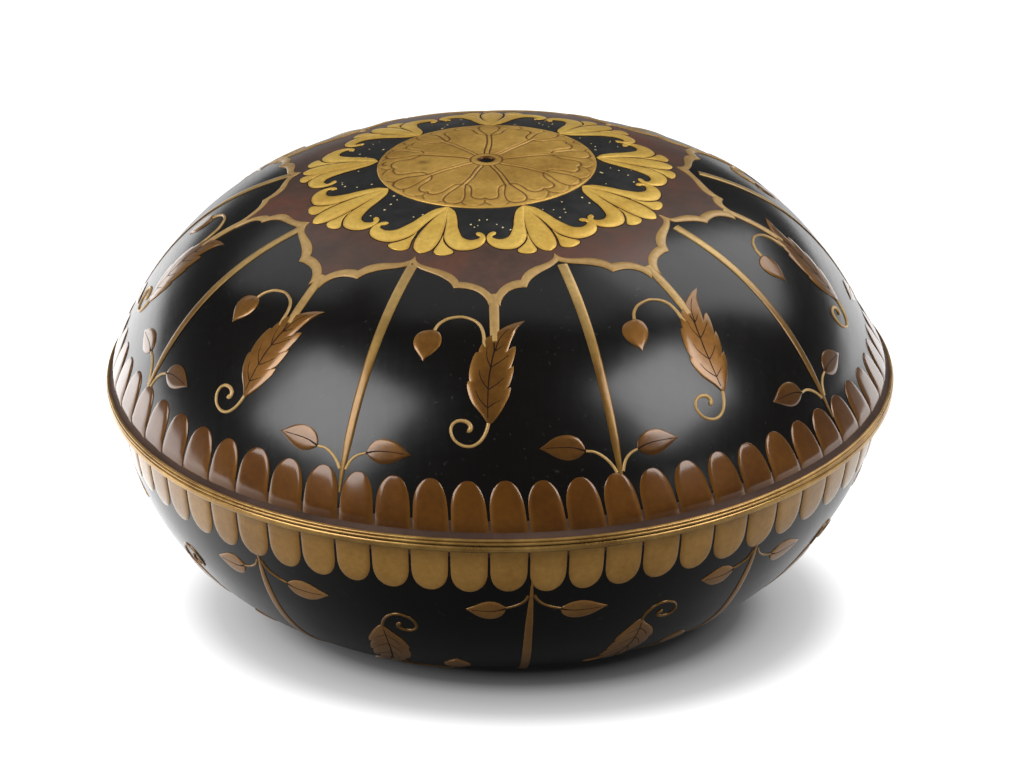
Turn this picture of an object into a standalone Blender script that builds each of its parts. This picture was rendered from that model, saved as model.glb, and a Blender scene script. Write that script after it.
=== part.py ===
"""A round lidded lacquer box: a domed lid resting on a deep bowl.

Both halves are hollow turned shells. Raised ornament covers them: a medallion, nine palmettes and a
cusped frame on the lid, and ribs, leaves and a border of tongues on both halves. Metres, +Z up, with
the origin under the middle of the foot.
"""
from math import atan2, cos, hypot, pi, radians, sin

import bmesh
import bpy
import numpy as np
from mathutils import Vector
from mathutils.geometry import delaunay_2d_cdt

# Outside of the two halves, measured to the ground that the ornament stands on
rim_radius = 0.1227
lid_overhang = 0.0017
lid_skirt = 0.0014
lid_rise = 0.0576
lid_crown = 0.0089
crown_reach = 0.0569
lid_powers = (4.27, 1.166)
bowl_overhang = 0.0036
bowl_depth = 0.0736
bowl_powers = (3.7, 2.0)

# Foot ring
foot_radius = 0.055
foot_width = 0.006
foot_height = 0.0025
foot_recess = 0.0018

# Walls and the fit between lid and bowl
wall = 0.004
seat_wall = 0.0071
seat_height = 0.0085
lip_clearance = 0.0004
lip_height = 0.006
lip_thickness = 0.0025
lip_depth = 0.005
seam_gap = 0.0003

# Beads at the seam, and how far the coves between beads and tongues reach from the seam
lid_bead_height = 0.0021
bowl_bead_height = 0.0023
lid_cove_height = 0.0042
bowl_cove_height = 0.0044

# Tongue borders
lid_tongues = 71
bowl_tongues = 68
lid_tongue_length = 0.0113
bowl_tongue_length = 0.0122
tongue_relief = 0.0011
lid_tongue_turn = radians(-91.3)
bowl_tongue_turn = radians(-91.5)

# Ribs, which divide each half into panels
panels = 9
lid_rib_turn = radians(-112.3)
bowl_rib_turns = (-128.0, -86.0, -51.0, -12.0, 28.0, 68.0, 108.0, 148.0, 190.0)
rib_width = 0.0028
rib_relief = 0.0007
rib_foot_gap = 0.007

# Medallion and its blind hole
medallion_radius = 0.0334
medallion_relief = 0.0006
hole_radius = 0.0014
hole_depth = 0.0016
hub_radius = 0.0046
spoke_length = 0.0155
spoke_width = 0.0016
spoke_relief = 0.0004

# Palmettes
palmette_gap = 0.0009
palmette_length = 0.0240
palmette_relief = 0.0009

# Cusped frame round the palmettes, with a stem at each panel's middle
frame_gap = 0.0026
cusp_step = 0.0074
cusp_turn = radians(11.8)
joint_step = 0.0141
frame_width = 0.0024
frame_relief = 0.0006
frame_bows = (0.0007, 0.0022)
stem_length = 0.0113

# Hanging leaves, and the pairs of small leaves beside the ribs
sprig_length = 0.0262
sprig_relief = 0.0008
sprig_gap = 0.0020
bowl_sprig_tip = 0.0346
leaf_drop = 0.0061
leaf_reach = 0.0069
leaf_length = 0.0131
leaf_width = 0.0063
leaf_tilt = radians(8)
leaf_relief = 0.0006

# Facets
bead_columns = 60
bead_parts = 4
inner_columns = 32
inner_parts = 5
rib_parts = 4
ground_spacing = 0.0165
ground_spare = 0.0038
relief_edge = 0.0004

# Outlines drawn as shares of the motif's own length: across, along
palmette_half_shares = (
    (0.09, 0.04), (0.18, 0.18), (0.25, 0.37), (0.34, 0.54), (0.45, 0.60), (0.53, 0.55),
    (0.53, 0.47), (0.64, 0.48), (0.66, 0.62), (0.54, 0.75), (0.39, 0.79), (0.30, 0.92),
    (0.15, 0.91), (0.08, 0.98),
)
palmette_crest_shares = (
    ((0.0, 0.16), (0.0, 0.55), (0.0, 0.88)),
    ((0.17, 0.35), (0.29, 0.62), (0.45, 0.69), (0.58, 0.62)),
)
sprig_outline_shares = (
    (0.04, -0.04), (0.20, -0.15), (0.38, -0.18), (0.30, 0.00), (0.21, 0.10), (0.28, 0.15),
    (0.21, 0.33), (0.26, 0.39), (0.19, 0.55), (0.23, 0.63), (0.13, 0.87), (0.00, 1.00),
    (-0.12, 0.87), (-0.22, 0.56), (-0.16, 0.50), (-0.19, 0.34), (-0.14, 0.19), (-0.05, 0.08),
)
sprig_crest_shares = ((0.06, 0.08), (0.02, 0.35), (0.01, 0.62), (0.00, 0.86))

# Places that follow from the sizes
lid_radius = rim_radius - lid_overhang
bowl_radius = rim_radius - bowl_overhang
seat_radius = lid_radius - seat_wall
palmette_root = medallion_radius + palmette_gap
frame_apex = palmette_root + palmette_length + frame_gap
frame_cusp = frame_apex + cusp_step
frame_joint = frame_apex + joint_step
sprig_top = frame_joint + stem_length


def lid_rise_at(r):
    """Height of the lid's ground over the seam: a flattened superellipse with a soft crown."""
    share = np.clip(r / lid_radius, 0.0, 1.0)
    power, root = lid_powers
    return lid_rise * (1 - share ** power) ** (1 / root) + lid_crown * np.exp(-(r / crown_reach) ** 2)


def bowl_drop_at(r):
    """Depth of the bowl's ground under the seam: a superellipse."""
    share = np.clip(r / bowl_radius, 0.0, 1.0)
    power, root = bowl_powers
    return bowl_depth * (1 - share ** power) ** (1 / root)


seam_height = foot_height + float(bowl_drop_at(foot_radius))
lid_base = seam_height + seam_gap


class Ground:
    """The turned outside of a half, measured by the arc length from its pole."""

    def __init__(self, radius, height_at, up):
        turn = np.linspace(0.0, pi / 2, 1500)
        self.r = radius * np.sin(turn)
        self.z = height_at(self.r)
        self.up = up
        self.s = np.concatenate(([0.0], np.cumsum(np.hypot(np.diff(self.r), np.diff(self.z)))))
        self.slope_r = np.gradient(self.r, self.s)
        self.slope_z = np.gradient(self.z, self.s)

    def radius(self, s):
        return float(np.interp(s, self.s, self.r))

    def arc(self, r):
        return float(np.interp(r, self.r, self.s))

    def arc_at(self, z):
        return float(np.interp(self.up * -z, self.up * -self.z, self.s))

    def lifted(self, s, height):
        """Radius and height of a point this far out from the ground, along its normal."""
        along_r = float(np.interp(s, self.s, self.slope_r))
        along_z = float(np.interp(s, self.s, self.slope_z))
        size = hypot(along_r, along_z)
        z = float(np.interp(s, self.s, self.z))
        return (self.radius(s) - self.up * height * along_z / size,
                z + self.up * height * along_r / size)

    def in_plan(self, x, y, spoke):
        """Arc length and turn of a point drawn in plan: y out along a spoke, x across it."""
        return self.arc(hypot(x, y)), spoke + atan2(x, y)

    def wrapped(self, x, s, meridian):
        """Arc length and turn of a point x across from a meridian."""
        return s, meridian + x / self.radius(s)


class Relief:
    """Points on a ground, each with a height, and the lines between them that stay edges."""

    def __init__(self, ground):
        self.ground = ground
        self.points = []
        self.edges = []
        self.outlines = []

    def add(self, s, turn, height):
        self.points.append((s, turn, height))
        return len(self.points) - 1

    def line(self, places, height, closed=False):
        """Add a line of (s, turn) places at one height."""
        ids = [self.add(s, turn, height) for s, turn in places]
        self.edges += list(zip(ids, ids[1:]))
        if closed:
            self.edges.append((ids[-1], ids[0]))
        return ids

    def outline(self, places, height=0.0):
        """Add a closed line that no loose ground point may lie in."""
        self.outlines.append(self.flat(places))
        return self.line(places, height, closed=True)

    @staticmethod
    def flat(places):
        s = np.array([place[0] for place in places])
        turn = np.array([place[1] for place in places])
        return np.stack((s * np.cos(turn), s * np.sin(turn)), 1)

    def clear(self, place, spare):
        """Whether a flat place keeps this far from every line and outside every outline."""
        flat = self.flat(self.points)
        ends = np.array(self.edges)
        start = flat[ends[:, 0]]
        run = flat[ends[:, 1]] - start
        share = np.clip(np.sum((place - start) * run, 1) / np.sum(run * run, 1), 0.0, 1.0)
        if np.min(np.hypot(*(start + share[:, None] * run - place).T)) < spare:
            return False
        for outline in self.outlines:
            a = outline
            b = np.roll(outline, -1, 0)
            crossing = (a[:, 1] > place[1]) != (b[:, 1] > place[1])
            a, b = a[crossing], b[crossing]
            reach = a[:, 0] + (place[1] - a[:, 1]) * (b[:, 0] - a[:, 0]) / (b[:, 1] - a[:, 1])
            if np.sum(reach > place[0]) % 2:
                return False
        return True

    def fill_ground(self, inner_radius, outer_radius):
        """Scatter ground points on rings between two radii, wherever the ornament leaves room."""
        first = self.ground.arc(inner_radius)
        last = self.ground.arc(outer_radius)
        rings = round((last - first) / ground_spacing * 1.5)
        found = []
        for step in range(1, rings):
            s = first + (last - first) * step / rings
            count = round(2 * pi * self.ground.radius(s) / ground_spacing)
            for i in range(count):
                turn = 2 * pi * (i + 0.5 * (step % 2)) / count
                if self.clear(self.flat([(s, turn)])[0], ground_spare):
                    found.append((s, turn))
        for s, turn in found:
            self.add(s, turn, 0.0)

    def build(self, bm):
        """Triangulate the flat map of the points, lift it, and return the vertices."""
        flat = [Vector(place) for place in self.flat(self.points)]
        verts, _, faces, origins, _, _ = delaunay_2d_cdt(flat, self.edges, [], 0, 1e-7)
        if len(verts) != len(flat):
            raise ValueError("two lines of the ornament cross")
        names = [origin[0] for origin in origins]
        made = []
        for s, turn, height in self.points:
            r, z = self.ground.lifted(s, height)
            made.append(bm.verts.new((r * cos(turn), r * sin(turn), z)))
        for face in faces:
            bm.faces.new([made[names[i]] for i in face])
        return made

    def as_ring(self, made, ids):
        """A ring of this relief as (turn, vertex) pairs for joining."""
        return [(self.points[i][1], made[i]) for i in ids]


def zip_rings(bm, first, second):
    """Join two rings of (turn, vertex) pairs, whose counts may differ, with triangles."""
    rings = []
    for ring in (first, second):
        ring = sorted(((turn % (2 * pi), vert) for turn, vert in ring), key=lambda pair: pair[0])
        rings.append(ring + [(ring[0][0] + 2 * pi, ring[0][1])])
    first, second = rings
    i, j = 0, 0
    while i < len(first) - 1 or j < len(second) - 1:
        step_first = j == len(second) - 1
        if i < len(first) - 1 and j < len(second) - 1:
            step_first = first[i + 1][0] + first[i][0] <= second[j + 1][0] + second[j][0]
        if step_first:
            bm.faces.new((first[i][1], first[i + 1][1], second[j][1]))
            i += 1
        else:
            bm.faces.new((first[i][1], second[j + 1][1], second[j][1]))
            j += 1


def turned(bm, outline, count, ring):
    """Carry a ring of vertices along an outline of (r, z) points and return the last ring."""
    for r, z in outline:
        turns = [2 * pi * i / count for i in range(count)]
        following = [(turn, bm.verts.new((r * cos(turn), r * sin(turn), z))) for turn in turns]
        zip_rings(bm, ring, following)
        ring = following
    return ring


def cap(bm, ring):
    bm.faces.new([vert for _, vert in ring])


def bead(low, high):
    """Outline of a half-round bead at the rim, from its upper end to its lower end."""
    half = (high - low) / 2
    turns = [pi / 2 - pi * i / bead_parts for i in range(bead_parts + 1)]
    return [(rim_radius - half + half * cos(t), (low + high) / 2 + half * sin(t)) for t in turns]


def cove(start, end):
    """Hollow curve from an upright start to a level end, without the start itself."""
    turns = (pi / 4, pi / 2)
    return [(start[0] + (end[0] - start[0]) * (1 - cos(t)), start[1] + (end[1] - start[1]) * sin(t))
            for t in turns]


def shifted(points, amount, closed):
    """Move a drawn line sideways to its left, mitred at the corners."""
    moved = []
    count = len(points)
    for i, point in enumerate(points):
        before = Vector(points[i - 1]) if closed or i else None
        after = Vector(points[(i + 1) % count]) if closed or i < count - 1 else None
        here = Vector(point)
        sides = []
        if before is not None:
            sides.append((here - before).normalized())
        if after is not None:
            sides.append((after - here).normalized())
        normals = [Vector((-side.y, side.x)) for side in sides]
        mean = sum(normals, Vector((0.0, 0.0))).normalized()
        stretch = min(1.6, 1 / max(mean.dot(normals[0]), 0.2))
        moved.append(tuple(here + mean * amount * stretch))
    return moved


def scaled(outline, length):
    return [(x * length, y * length) for x, y in outline]


def lens(length, width, parts):
    """Outline of a pointed leaf along +X from the origin."""
    upper = [(length * i / parts, width / 2 * sin(pi * (i / parts) ** 0.9)) for i in range(1, parts)]
    lower = [(x, -y) for x, y in reversed(upper)]
    return [(0.0, 0.0)] + upper + [(length, 0.0)] + lower


def add_medallion(relief, spokes):
    ground = relief.ground
    relief.add(0.0, 0.0, -hole_depth)
    relief.line([(hole_radius * 0.6, turn) for turn in spokes], -hole_depth, closed=True)
    relief.line([(hole_radius, turn) for turn in spokes], medallion_relief, closed=True)
    mid_turns = [turn + pi / panels for turn in spokes]
    relief.line([(hub_radius, turn) for turn in mid_turns], medallion_relief, closed=True)
    start = hub_radius + relief_edge
    spoke_end = hub_radius + spoke_length
    for spoke in spokes:
        half = spoke_width / 2
        sides = [(-half, start), (-half, spoke_end), (half, spoke_end), (half, start)]
        relief.line([ground.in_plan(x, y, spoke) for x, y in sides], medallion_relief)
        relief.line([(start, spoke), (spoke_end, spoke)], medallion_relief + spoke_relief)
    edge = ground.arc(medallion_radius)
    columns = 4 * panels
    rim = [spokes[0] + 2 * pi * i / columns for i in range(columns)]
    relief.line([(edge - relief_edge, turn) for turn in rim], medallion_relief, closed=True)
    relief.outline([(edge, turn) for turn in rim])


def add_palmette(relief, spoke):
    ground = relief.ground
    half = list(palmette_half_shares)
    shape = [(0.0, 0.0)] + half + [(0.0, 1.0)] + [(-x, y) for x, y in reversed(half)]
    drawn = [(x, palmette_root + y) for x, y in scaled(shape, palmette_length)]
    relief.outline([ground.in_plan(x, y, spoke) for x, y in drawn])
    inner = shifted(drawn, relief_edge, closed=True)
    relief.line([ground.in_plan(x, y, spoke) for x, y in inner], palmette_relief * 0.6, closed=True)
    middle, side = palmette_crest_shares
    lines = [middle, side, [(-x, y) for x, y in side]]
    for line in lines:
        drawn = [(x, palmette_root + y) for x, y in scaled(line, palmette_length)]
        relief.line([ground.in_plan(x, y, spoke) for x, y in drawn], palmette_relief)


def frame_half():
    """Middle line of half a panel of the frame in plan, from its apex to its joint."""
    cusp = (frame_cusp * sin(cusp_turn), frame_cusp * cos(cusp_turn))
    joint = (frame_joint * sin(pi / panels), frame_joint * cos(pi / panels))
    corners = ((0.0, frame_apex), cusp, joint)
    points = [corners[0]]
    for start, end, bow in zip(corners, corners[1:], frame_bows):
        across = Vector((end[0] - start[0], end[1] - start[1]))
        out = Vector((across.y, -across.x)).normalized()
        for share in (0.5, 1.0):
            arch = out * bow * 4 * share * (1 - share)
            points.append(tuple(Vector(start) + across * share + arch))
    return points


def add_frame(relief, spokes):
    """The frame's band with a ridge along its middle, and a stem from each joint."""
    ground = relief.ground
    half = frame_half()
    count = len(half) - 1
    stem_end = sprig_top - sprig_gap
    whole = []
    for spoke in spokes:
        left = [(-x, y) for x, y in reversed(half[1:])]
        for x, y in left + half[:-1]:
            turn = spoke + atan2(x, y)
            whole.append((hypot(x, y) * cos(turn), hypot(x, y) * sin(turn)))
    sides = []
    for amount in (frame_width / 2, 0.0, -frame_width / 2):
        drawn = shifted(whole, amount, closed=True)
        sides.append([(ground.arc(hypot(x, y)), atan2(y, x)) for x, y in drawn])
    inner, middle, outer = sides
    relief.line(inner, 0.0, closed=True)
    ridge = relief.line(middle, frame_relief, closed=True)
    edge = []
    for i, place in enumerate(outer):
        if i % (2 * count):
            edge.append(place)
            continue
        joint = spokes[i // (2 * count)] - pi / panels
        for side, s in ((-1, place[0]), (-1, ground.arc(stem_end)), (1, ground.arc(stem_end)), (1, place[0])):
            edge.append(ground.wrapped(side * frame_width / 2, s, joint))
        tip = relief.add(ground.arc(stem_end - frame_width / 2), joint, frame_relief)
        relief.edges.append((ridge[i], tip))
    relief.outline(edge)


def add_rib(relief, meridian, start, end):
    """A half-round rib along a meridian between two arc lengths."""
    stations = [start + (end - start) * i / rib_parts for i in range(rib_parts + 1)]
    half = rib_width / 2
    left = [relief.ground.wrapped(-half, s, meridian) for s in stations]
    right = [relief.ground.wrapped(half, s, meridian) for s in reversed(stations)]
    relief.outline(left + right)
    inside = [start + half] + stations[1:-1] + [end - half]
    relief.line([(s, meridian) for s in inside], rib_relief)


def add_sprig(relief, meridian, root, along):
    """A hanging leaf; along is 1 where it points away from the pole and -1 where it points to it."""
    def place(points):
        drawn = scaled(points, sprig_length)
        return [relief.ground.wrapped(x * along, root + y * along, meridian) for x, y in drawn]

    relief.outline(place(sprig_outline_shares))
    relief.line(place(sprig_crest_shares), sprig_relief)


def add_leaf_pair(relief, meridian, level, towards_pole):
    """Two small leaves beside a rib, at the arc length where they leave their stalks."""
    for side in (-1, 1):
        outline = lens(leaf_length, leaf_width, 3)
        crest = [(leaf_length * share, 0.0) for share in (0.3, 0.7)]
        for points, height in ((outline, None), (crest, leaf_relief)):
            places = []
            for x, y in points:
                across = leaf_reach + x * cos(leaf_tilt) - y * sin(leaf_tilt)
                rise = x * sin(leaf_tilt) + y * cos(leaf_tilt)
                s = level - towards_pole * rise
                places.append(relief.ground.wrapped(side * across, s, meridian))
            if height is None:
                relief.outline(places)
            else:
                relief.line(places, height)


def add_tongues(relief, count, start_turn, edge, length):
    """A border of pillowed tongues up to the arc length of its edge, and the ring of that edge."""
    pitch = 2 * pi / count
    top = edge - length
    ring = []
    for i in range(count):
        valley = start_turn + pitch * i
        middle = valley + pitch / 2
        upper = relief.add(top + length * 0.42, valley, 0.0)
        low = relief.add(edge, valley, 0.0)
        relief.edges.append((upper, low))
        shoulder = top + length * 0.12
        reach = pitch * 0.33
        relief.line([(shoulder, middle - reach), (top, middle), (shoulder, middle + reach)], 0.0)
        near = relief.add(top + length * 0.18, middle, tongue_relief * 0.9)
        end = relief.add(edge, middle, tongue_relief * 0.5)
        for side in (-1, 1):
            body = relief.add(top + length * 0.5, middle + side * pitch * 0.24, tongue_relief)
            relief.edges += [(near, body), (body, end)]
        ring += [low, end]
    relief.edges += list(zip(ring, ring[1:] + ring[:1]))
    return ring


def inner_outline(ground, start, end):
    """Outline of the inside, a wall's thickness in from the ground."""
    stations = [start + (end - start) * i / inner_parts for i in range(inner_parts + 1)]
    return [ground.lifted(s, -wall) for s in stations]


def make_object(name, bm, material):
    bmesh.ops.recalc_face_normals(bm, faces=bm.faces)
    mesh = bpy.data.meshes.new(name)
    bm.to_mesh(mesh)
    bm.free()
    mesh.shade_smooth()
    mesh.set_sharp_from_angle(angle=radians(20))
    mesh.materials.append(material)
    item = bpy.data.objects.new(name, mesh)
    bpy.context.scene.collection.objects.link(item)
    return item


def make_lid(material):
    ground = Ground(lid_radius, lambda r: lid_base + lid_skirt + lid_rise_at(r), 1)
    relief = Relief(ground)
    spokes = [lid_rib_turn + 2 * pi * i / panels for i in range(panels)]
    edge = ground.arc_at(lid_base + lid_cove_height)
    tongue_top = edge - lid_tongue_length

    add_medallion(relief, spokes)
    add_frame(relief, spokes)
    ring = add_tongues(relief, lid_tongues, lid_tongue_turn, edge, lid_tongue_length)
    for spoke in spokes:
        add_palmette(relief, spoke)
        add_rib(relief, spoke, ground.arc(frame_apex + frame_width), tongue_top - relief_edge)
        add_leaf_pair(relief, spoke, tongue_top - leaf_drop, 1)
        add_sprig(relief, spoke + pi / panels, ground.arc(sprig_top), 1)
    relief.fill_ground(medallion_radius, lid_radius)

    bm = bmesh.new()
    made = relief.build(bm)
    round_bead = bead(lid_base, lid_base + lid_bead_height)
    start = ground.lifted(edge, 0.0)
    outside = cove(start, round_bead[0]) + round_bead[1:]
    last = turned(bm, outside, bead_columns, relief.as_ring(made, ring))
    seat_arc = ground.arc_at(lid_base + seat_height)
    inside = [(seat_radius, lid_base), (seat_radius, lid_base + seat_height)]
    inside += inner_outline(ground, seat_arc - wall, ground.arc(medallion_radius))
    last = turned(bm, inside, inner_columns, last)
    cap(bm, last)
    return make_object("lid", bm, material)


def make_bowl(material):
    ground = Ground(bowl_radius, lambda r: seam_height - bowl_drop_at(r), -1)
    relief = Relief(ground)
    meridians = [radians(turn) for turn in bowl_rib_turns]
    edge = ground.arc_at(seam_height - bowl_cove_height)
    tongue_top = edge - bowl_tongue_length

    foot_arc = ground.arc(foot_radius)
    foot_turns = [2 * pi * i / inner_columns for i in range(inner_columns)]
    foot_ring = relief.outline([(foot_arc, turn) for turn in foot_turns])
    ring = add_tongues(relief, bowl_tongues, bowl_tongue_turn, edge, bowl_tongue_length)
    for meridian, after in zip(meridians, meridians[1:] + [meridians[0] + 2 * pi]):
        add_rib(relief, meridian, ground.arc(foot_radius + rib_foot_gap), tongue_top - relief_edge)
        add_leaf_pair(relief, meridian, tongue_top - leaf_drop, 1)
        add_sprig(relief, (meridian + after) / 2, ground.arc_at(seam_height - bowl_sprig_tip), -1)
    relief.fill_ground(foot_radius, bowl_radius)

    bm = bmesh.new()
    made = relief.build(bm)
    inside_foot = {made[i] for i in foot_ring}
    spare_faces = [face for face in bm.faces if all(vert in inside_foot for vert in face.verts)]
    bmesh.ops.delete(bm, geom=spare_faces, context="FACES")

    foot_inner = foot_radius - foot_width
    foot = [(foot_radius, 0.0), (foot_inner, 0.0), (foot_inner, foot_recess)]
    last = turned(bm, foot, inner_columns, relief.as_ring(made, foot_ring))
    cap(bm, last)

    round_bead = bead(seam_height - bowl_bead_height, seam_height)[::-1]
    start = ground.lifted(edge, 0.0)
    outside = cove(start, round_bead[0]) + round_bead[1:]
    last = turned(bm, outside, bead_columns, relief.as_ring(made, ring))
    lip_outer = seat_radius - lip_clearance
    lip_inner = lip_outer - lip_thickness
    inside = [
        (lip_outer, seam_height),
        (lip_outer, seam_height + lip_height),
        (lip_inner, seam_height + lip_height),
        (lip_inner, seam_height - lip_depth),
    ]
    inside += inner_outline(ground, ground.arc_at(seam_height - 3 * lip_depth), foot_arc)
    last = turned(bm, inside, inner_columns, last)
    cap(bm, last)
    return make_object("bowl", bm, material)


def lacquer(name, colour, roughness):
    material = bpy.data.materials.new(name)
    material.use_nodes = True
    shader = material.node_tree.nodes["Principled BSDF"]
    shader.inputs["Base Color"].default_value = (*colour, 1.0)
    shader.inputs["Roughness"].default_value = roughness
    shader.inputs["Metallic"].default_value = 0.0
    return material


for leftover in list(bpy.data.objects):
    bpy.data.objects.remove(leftover)

make_lid(lacquer("black and gold lacquer", (0.10, 0.065, 0.03), 0.28))
make_bowl(lacquer("black lacquer", (0.05, 0.035, 0.02), 0.30))
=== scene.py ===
from math import cos, pi, radians, sin

import bmesh
import bpy
import numpy as np
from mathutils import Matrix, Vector


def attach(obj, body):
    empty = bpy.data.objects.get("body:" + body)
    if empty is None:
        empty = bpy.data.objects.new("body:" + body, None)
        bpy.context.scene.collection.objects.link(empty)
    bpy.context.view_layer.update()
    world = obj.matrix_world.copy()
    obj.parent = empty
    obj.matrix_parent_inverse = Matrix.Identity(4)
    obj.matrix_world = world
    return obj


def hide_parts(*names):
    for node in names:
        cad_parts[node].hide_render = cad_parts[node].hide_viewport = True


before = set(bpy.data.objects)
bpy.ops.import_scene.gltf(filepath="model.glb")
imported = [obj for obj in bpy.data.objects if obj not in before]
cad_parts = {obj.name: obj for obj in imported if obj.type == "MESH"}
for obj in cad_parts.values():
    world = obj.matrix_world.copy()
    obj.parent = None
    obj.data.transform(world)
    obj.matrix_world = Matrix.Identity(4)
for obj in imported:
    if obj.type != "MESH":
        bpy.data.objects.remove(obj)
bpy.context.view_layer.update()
scene = bpy.context.scene
scene.view_settings.view_transform = "Standard"
mm = 0.001
print("packed model loaded")


# Camera at the photograph's place
view = {"place": (0.0, -0.80744, 0.46138), "turn": (63.8013, 0.8191, -0.7391), "lens": 99.534}
cameraData = bpy.data.cameras.new("camera")
cameraData.lens = view["lens"]
cameraData.sensor_width = 36.0
camera = bpy.data.objects.new("camera", cameraData)
camera.location = view["place"]
camera.rotation_euler = [radians(a) for a in view["turn"]]
scene.collection.objects.link(camera)
scene.camera = camera


# The turned outside of both halves, with the solids' own values
box = {
    "rimRadius": 0.1227, "lidRadius": 0.1210, "lidSkirt": 0.0014, "lidRise": 0.0576, "lidCrown": 0.0089,
    "crownReach": 0.0569, "crownDip": 0.0012, "dipReach": 0.0165, "lidPower": 4.27, "lidRoot": 1.166,
    "bowlRadius": 0.1191, "bowlDepth": 0.0736, "bowlPower": 3.7,
    "footRadius": 0.055, "footWidth": 0.006, "footHeight": 0.0025, "footRecess": 0.0018,
    "wall": 0.004, "seatRadius": 0.1139, "seatHeight": 0.0085, "lipClearance": 0.0004,
    "lipHeight": 0.006, "lipThickness": 0.0025, "lipDepth": 0.005, "seamGap": 0.0003,
    "lidBead": 0.0020, "bowlBead": 0.0018, "lidCove": 0.0056, "bowlCove": 0.0036,
}


def lidRiseAt(r):
    # rise * (1 - (r / radius) ** power) ** (1 / root), plus a crown that fades as exp(-(r / reach) ** 2)
    # and less a slight hollow of the same kind round the pole
    share = np.clip(r / box["lidRadius"], 0.0, 1.0)
    dome = box["lidRise"] * (1 - share ** box["lidPower"]) ** (1 / box["lidRoot"])
    crown = box["lidCrown"] * np.exp(-(r / box["crownReach"]) ** 2)
    return dome + crown - box["crownDip"] * np.exp(-(r / box["dipReach"]) ** 2)


def bowlDropAt(r):
    # depth * sqrt(1 - (r / radius) ** power)
    share = np.clip(r / box["bowlRadius"], 0.0, 1.0)
    return box["bowlDepth"] * np.sqrt(1 - share ** box["bowlPower"])


seamHeight = box["footHeight"] + float(bowlDropAt(box["footRadius"]))
lidBase = seamHeight + box["seamGap"]


def bezier(a, b, c, d, count):
    # Cubic curve (1-t)^3 a + 3 (1-t)^2 t b + 3 (1-t) t^2 c + t^3 d
    t = np.linspace(0.0, 1.0, count)[:, None]
    a, b, c, d = (np.array(p, float) for p in (a, b, c, d))
    return (1 - t) ** 3 * a + 3 * (1 - t) ** 2 * t * b + 3 * (1 - t) * t * t * c + t ** 3 * d


def groundOf(line):
    # Arc length s and outward normal (-dz/ds, dr/ds) along an (r, z) line that runs downwards
    r, z = line[:, 0], line[:, 1]
    s = np.concatenate(([0.0], np.cumsum(np.hypot(np.diff(r), np.diff(z)))))
    return {"r": r, "z": z, "s": s, "nr": -np.gradient(z, s), "nz": np.gradient(r, s)}


def lidLine():
    # The dome down to the cove, then a cove that flares out to the bead
    turn = np.linspace(0.0, pi / 2, 4000)
    r = box["lidRadius"] * np.sin(turn)
    z = lidBase + box["lidSkirt"] + lidRiseAt(r)
    keep = z > lidBase + box["lidCove"]
    dome = np.stack((r[keep], z[keep]), 1)
    last = dome[-1]
    end = (box["rimRadius"] - 0.0010, lidBase + box["lidBead"])
    cove = bezier(last, last + (0.0004, -0.0020), (end[0] - 0.0013, end[1] + 0.0005), end, 60)
    return np.concatenate((dome, cove[1:]))


def bowlLine():
    # A small cove under the bead, then the bowl's wall down to the foot
    turn = np.linspace(pi / 2, 0.0, 4000)
    r = box["bowlRadius"] * np.sin(turn)
    z = seamHeight - bowlDropAt(r)
    keep = z < seamHeight - box["bowlCove"]
    wall = np.stack((r[keep], z[keep]), 1)
    first = wall[0]
    start = (box["rimRadius"] - 0.0013, seamHeight - box["bowlBead"])
    cove = bezier(start, (start[0] - 0.0016, start[1] - 0.0001), first + (0.0001, 0.0006), first, 40)
    return np.concatenate((cove[:-1], wall))


lidGround = groundOf(lidLine())
bowlGround = groundOf(bowlLine())
bowlGround["s"] += box["bowlCove"] - bowlGround["s"][39]       # arc length counted from the seam


def lifted(ground, s, turn, lift):
    # The place at an arc length and a turn, moved out along the ground's normal
    r = np.interp(s, ground["s"], ground["r"]) + lift * np.interp(s, ground["s"], ground["nr"])
    z = np.interp(s, ground["s"], ground["z"]) + lift * np.interp(s, ground["s"], ground["nz"])
    return np.stack((r * np.cos(turn), r * np.sin(turn), z), -1)


def onPlan(x, y, lift):
    # A drawing in plan on the lid, in millimetres from the turning axis
    r = np.hypot(x, y) * mm
    return lifted(lidGround, np.interp(r, lidGround["r"], lidGround["s"]), np.arctan2(y, x), lift * mm)


def onPanel(ground, meridian, start, way=1.0):
    # A drawing in millimetres: x across a meridian and y along it from an arc length, and turned over
    # where way is -1
    def place(x, y, lift):
        s = start * mm + way * y * mm
        r = np.interp(s, ground["s"], ground["r"])
        return lifted(ground, s, meridian + way * x * mm / r, lift * mm)
    return place


def turnedPlan(points, spoke, middle):
    # Turns a drawing whose y runs out along a spoke into the lid's plan
    points = np.asarray(points, float)
    out = np.array((cos(spoke), sin(spoke)))
    across = np.array((-sin(spoke), cos(spoke)))
    return np.asarray(middle) + points[:, :1] * across + points[:, 1:2] * out


# Mesh helpers
def smoothLine(points, count):
    # Hermite curve through the points on chord length, with slopes from the neighbouring chords, read at
    # even steps
    points = np.asarray(points, float)
    chord = np.hypot(*np.diff(points[:, :2], axis=0).T)
    if points.shape[1] > 2:
        chord = chord + np.hypot(*np.diff(points[:, 2:4], axis=0).T)
    t = np.concatenate(([0.0], np.cumsum(chord)))
    slope = np.gradient(points, t, axis=0)
    at = np.linspace(0.0, t[-1], count)
    i = np.clip(np.searchsorted(t, at, side="right") - 1, 0, len(t) - 2)
    h = (t[i + 1] - t[i])[:, None]
    u = ((at - t[i]) / h[:, 0])[:, None]
    return ((2 * u ** 3 - 3 * u ** 2 + 1) * points[i] + (u ** 3 - 2 * u ** 2 + u) * h * slope[i]
            + (3 * u ** 2 - 2 * u ** 3) * points[i + 1] + (u ** 3 - u ** 2) * h * slope[i + 1])


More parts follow.
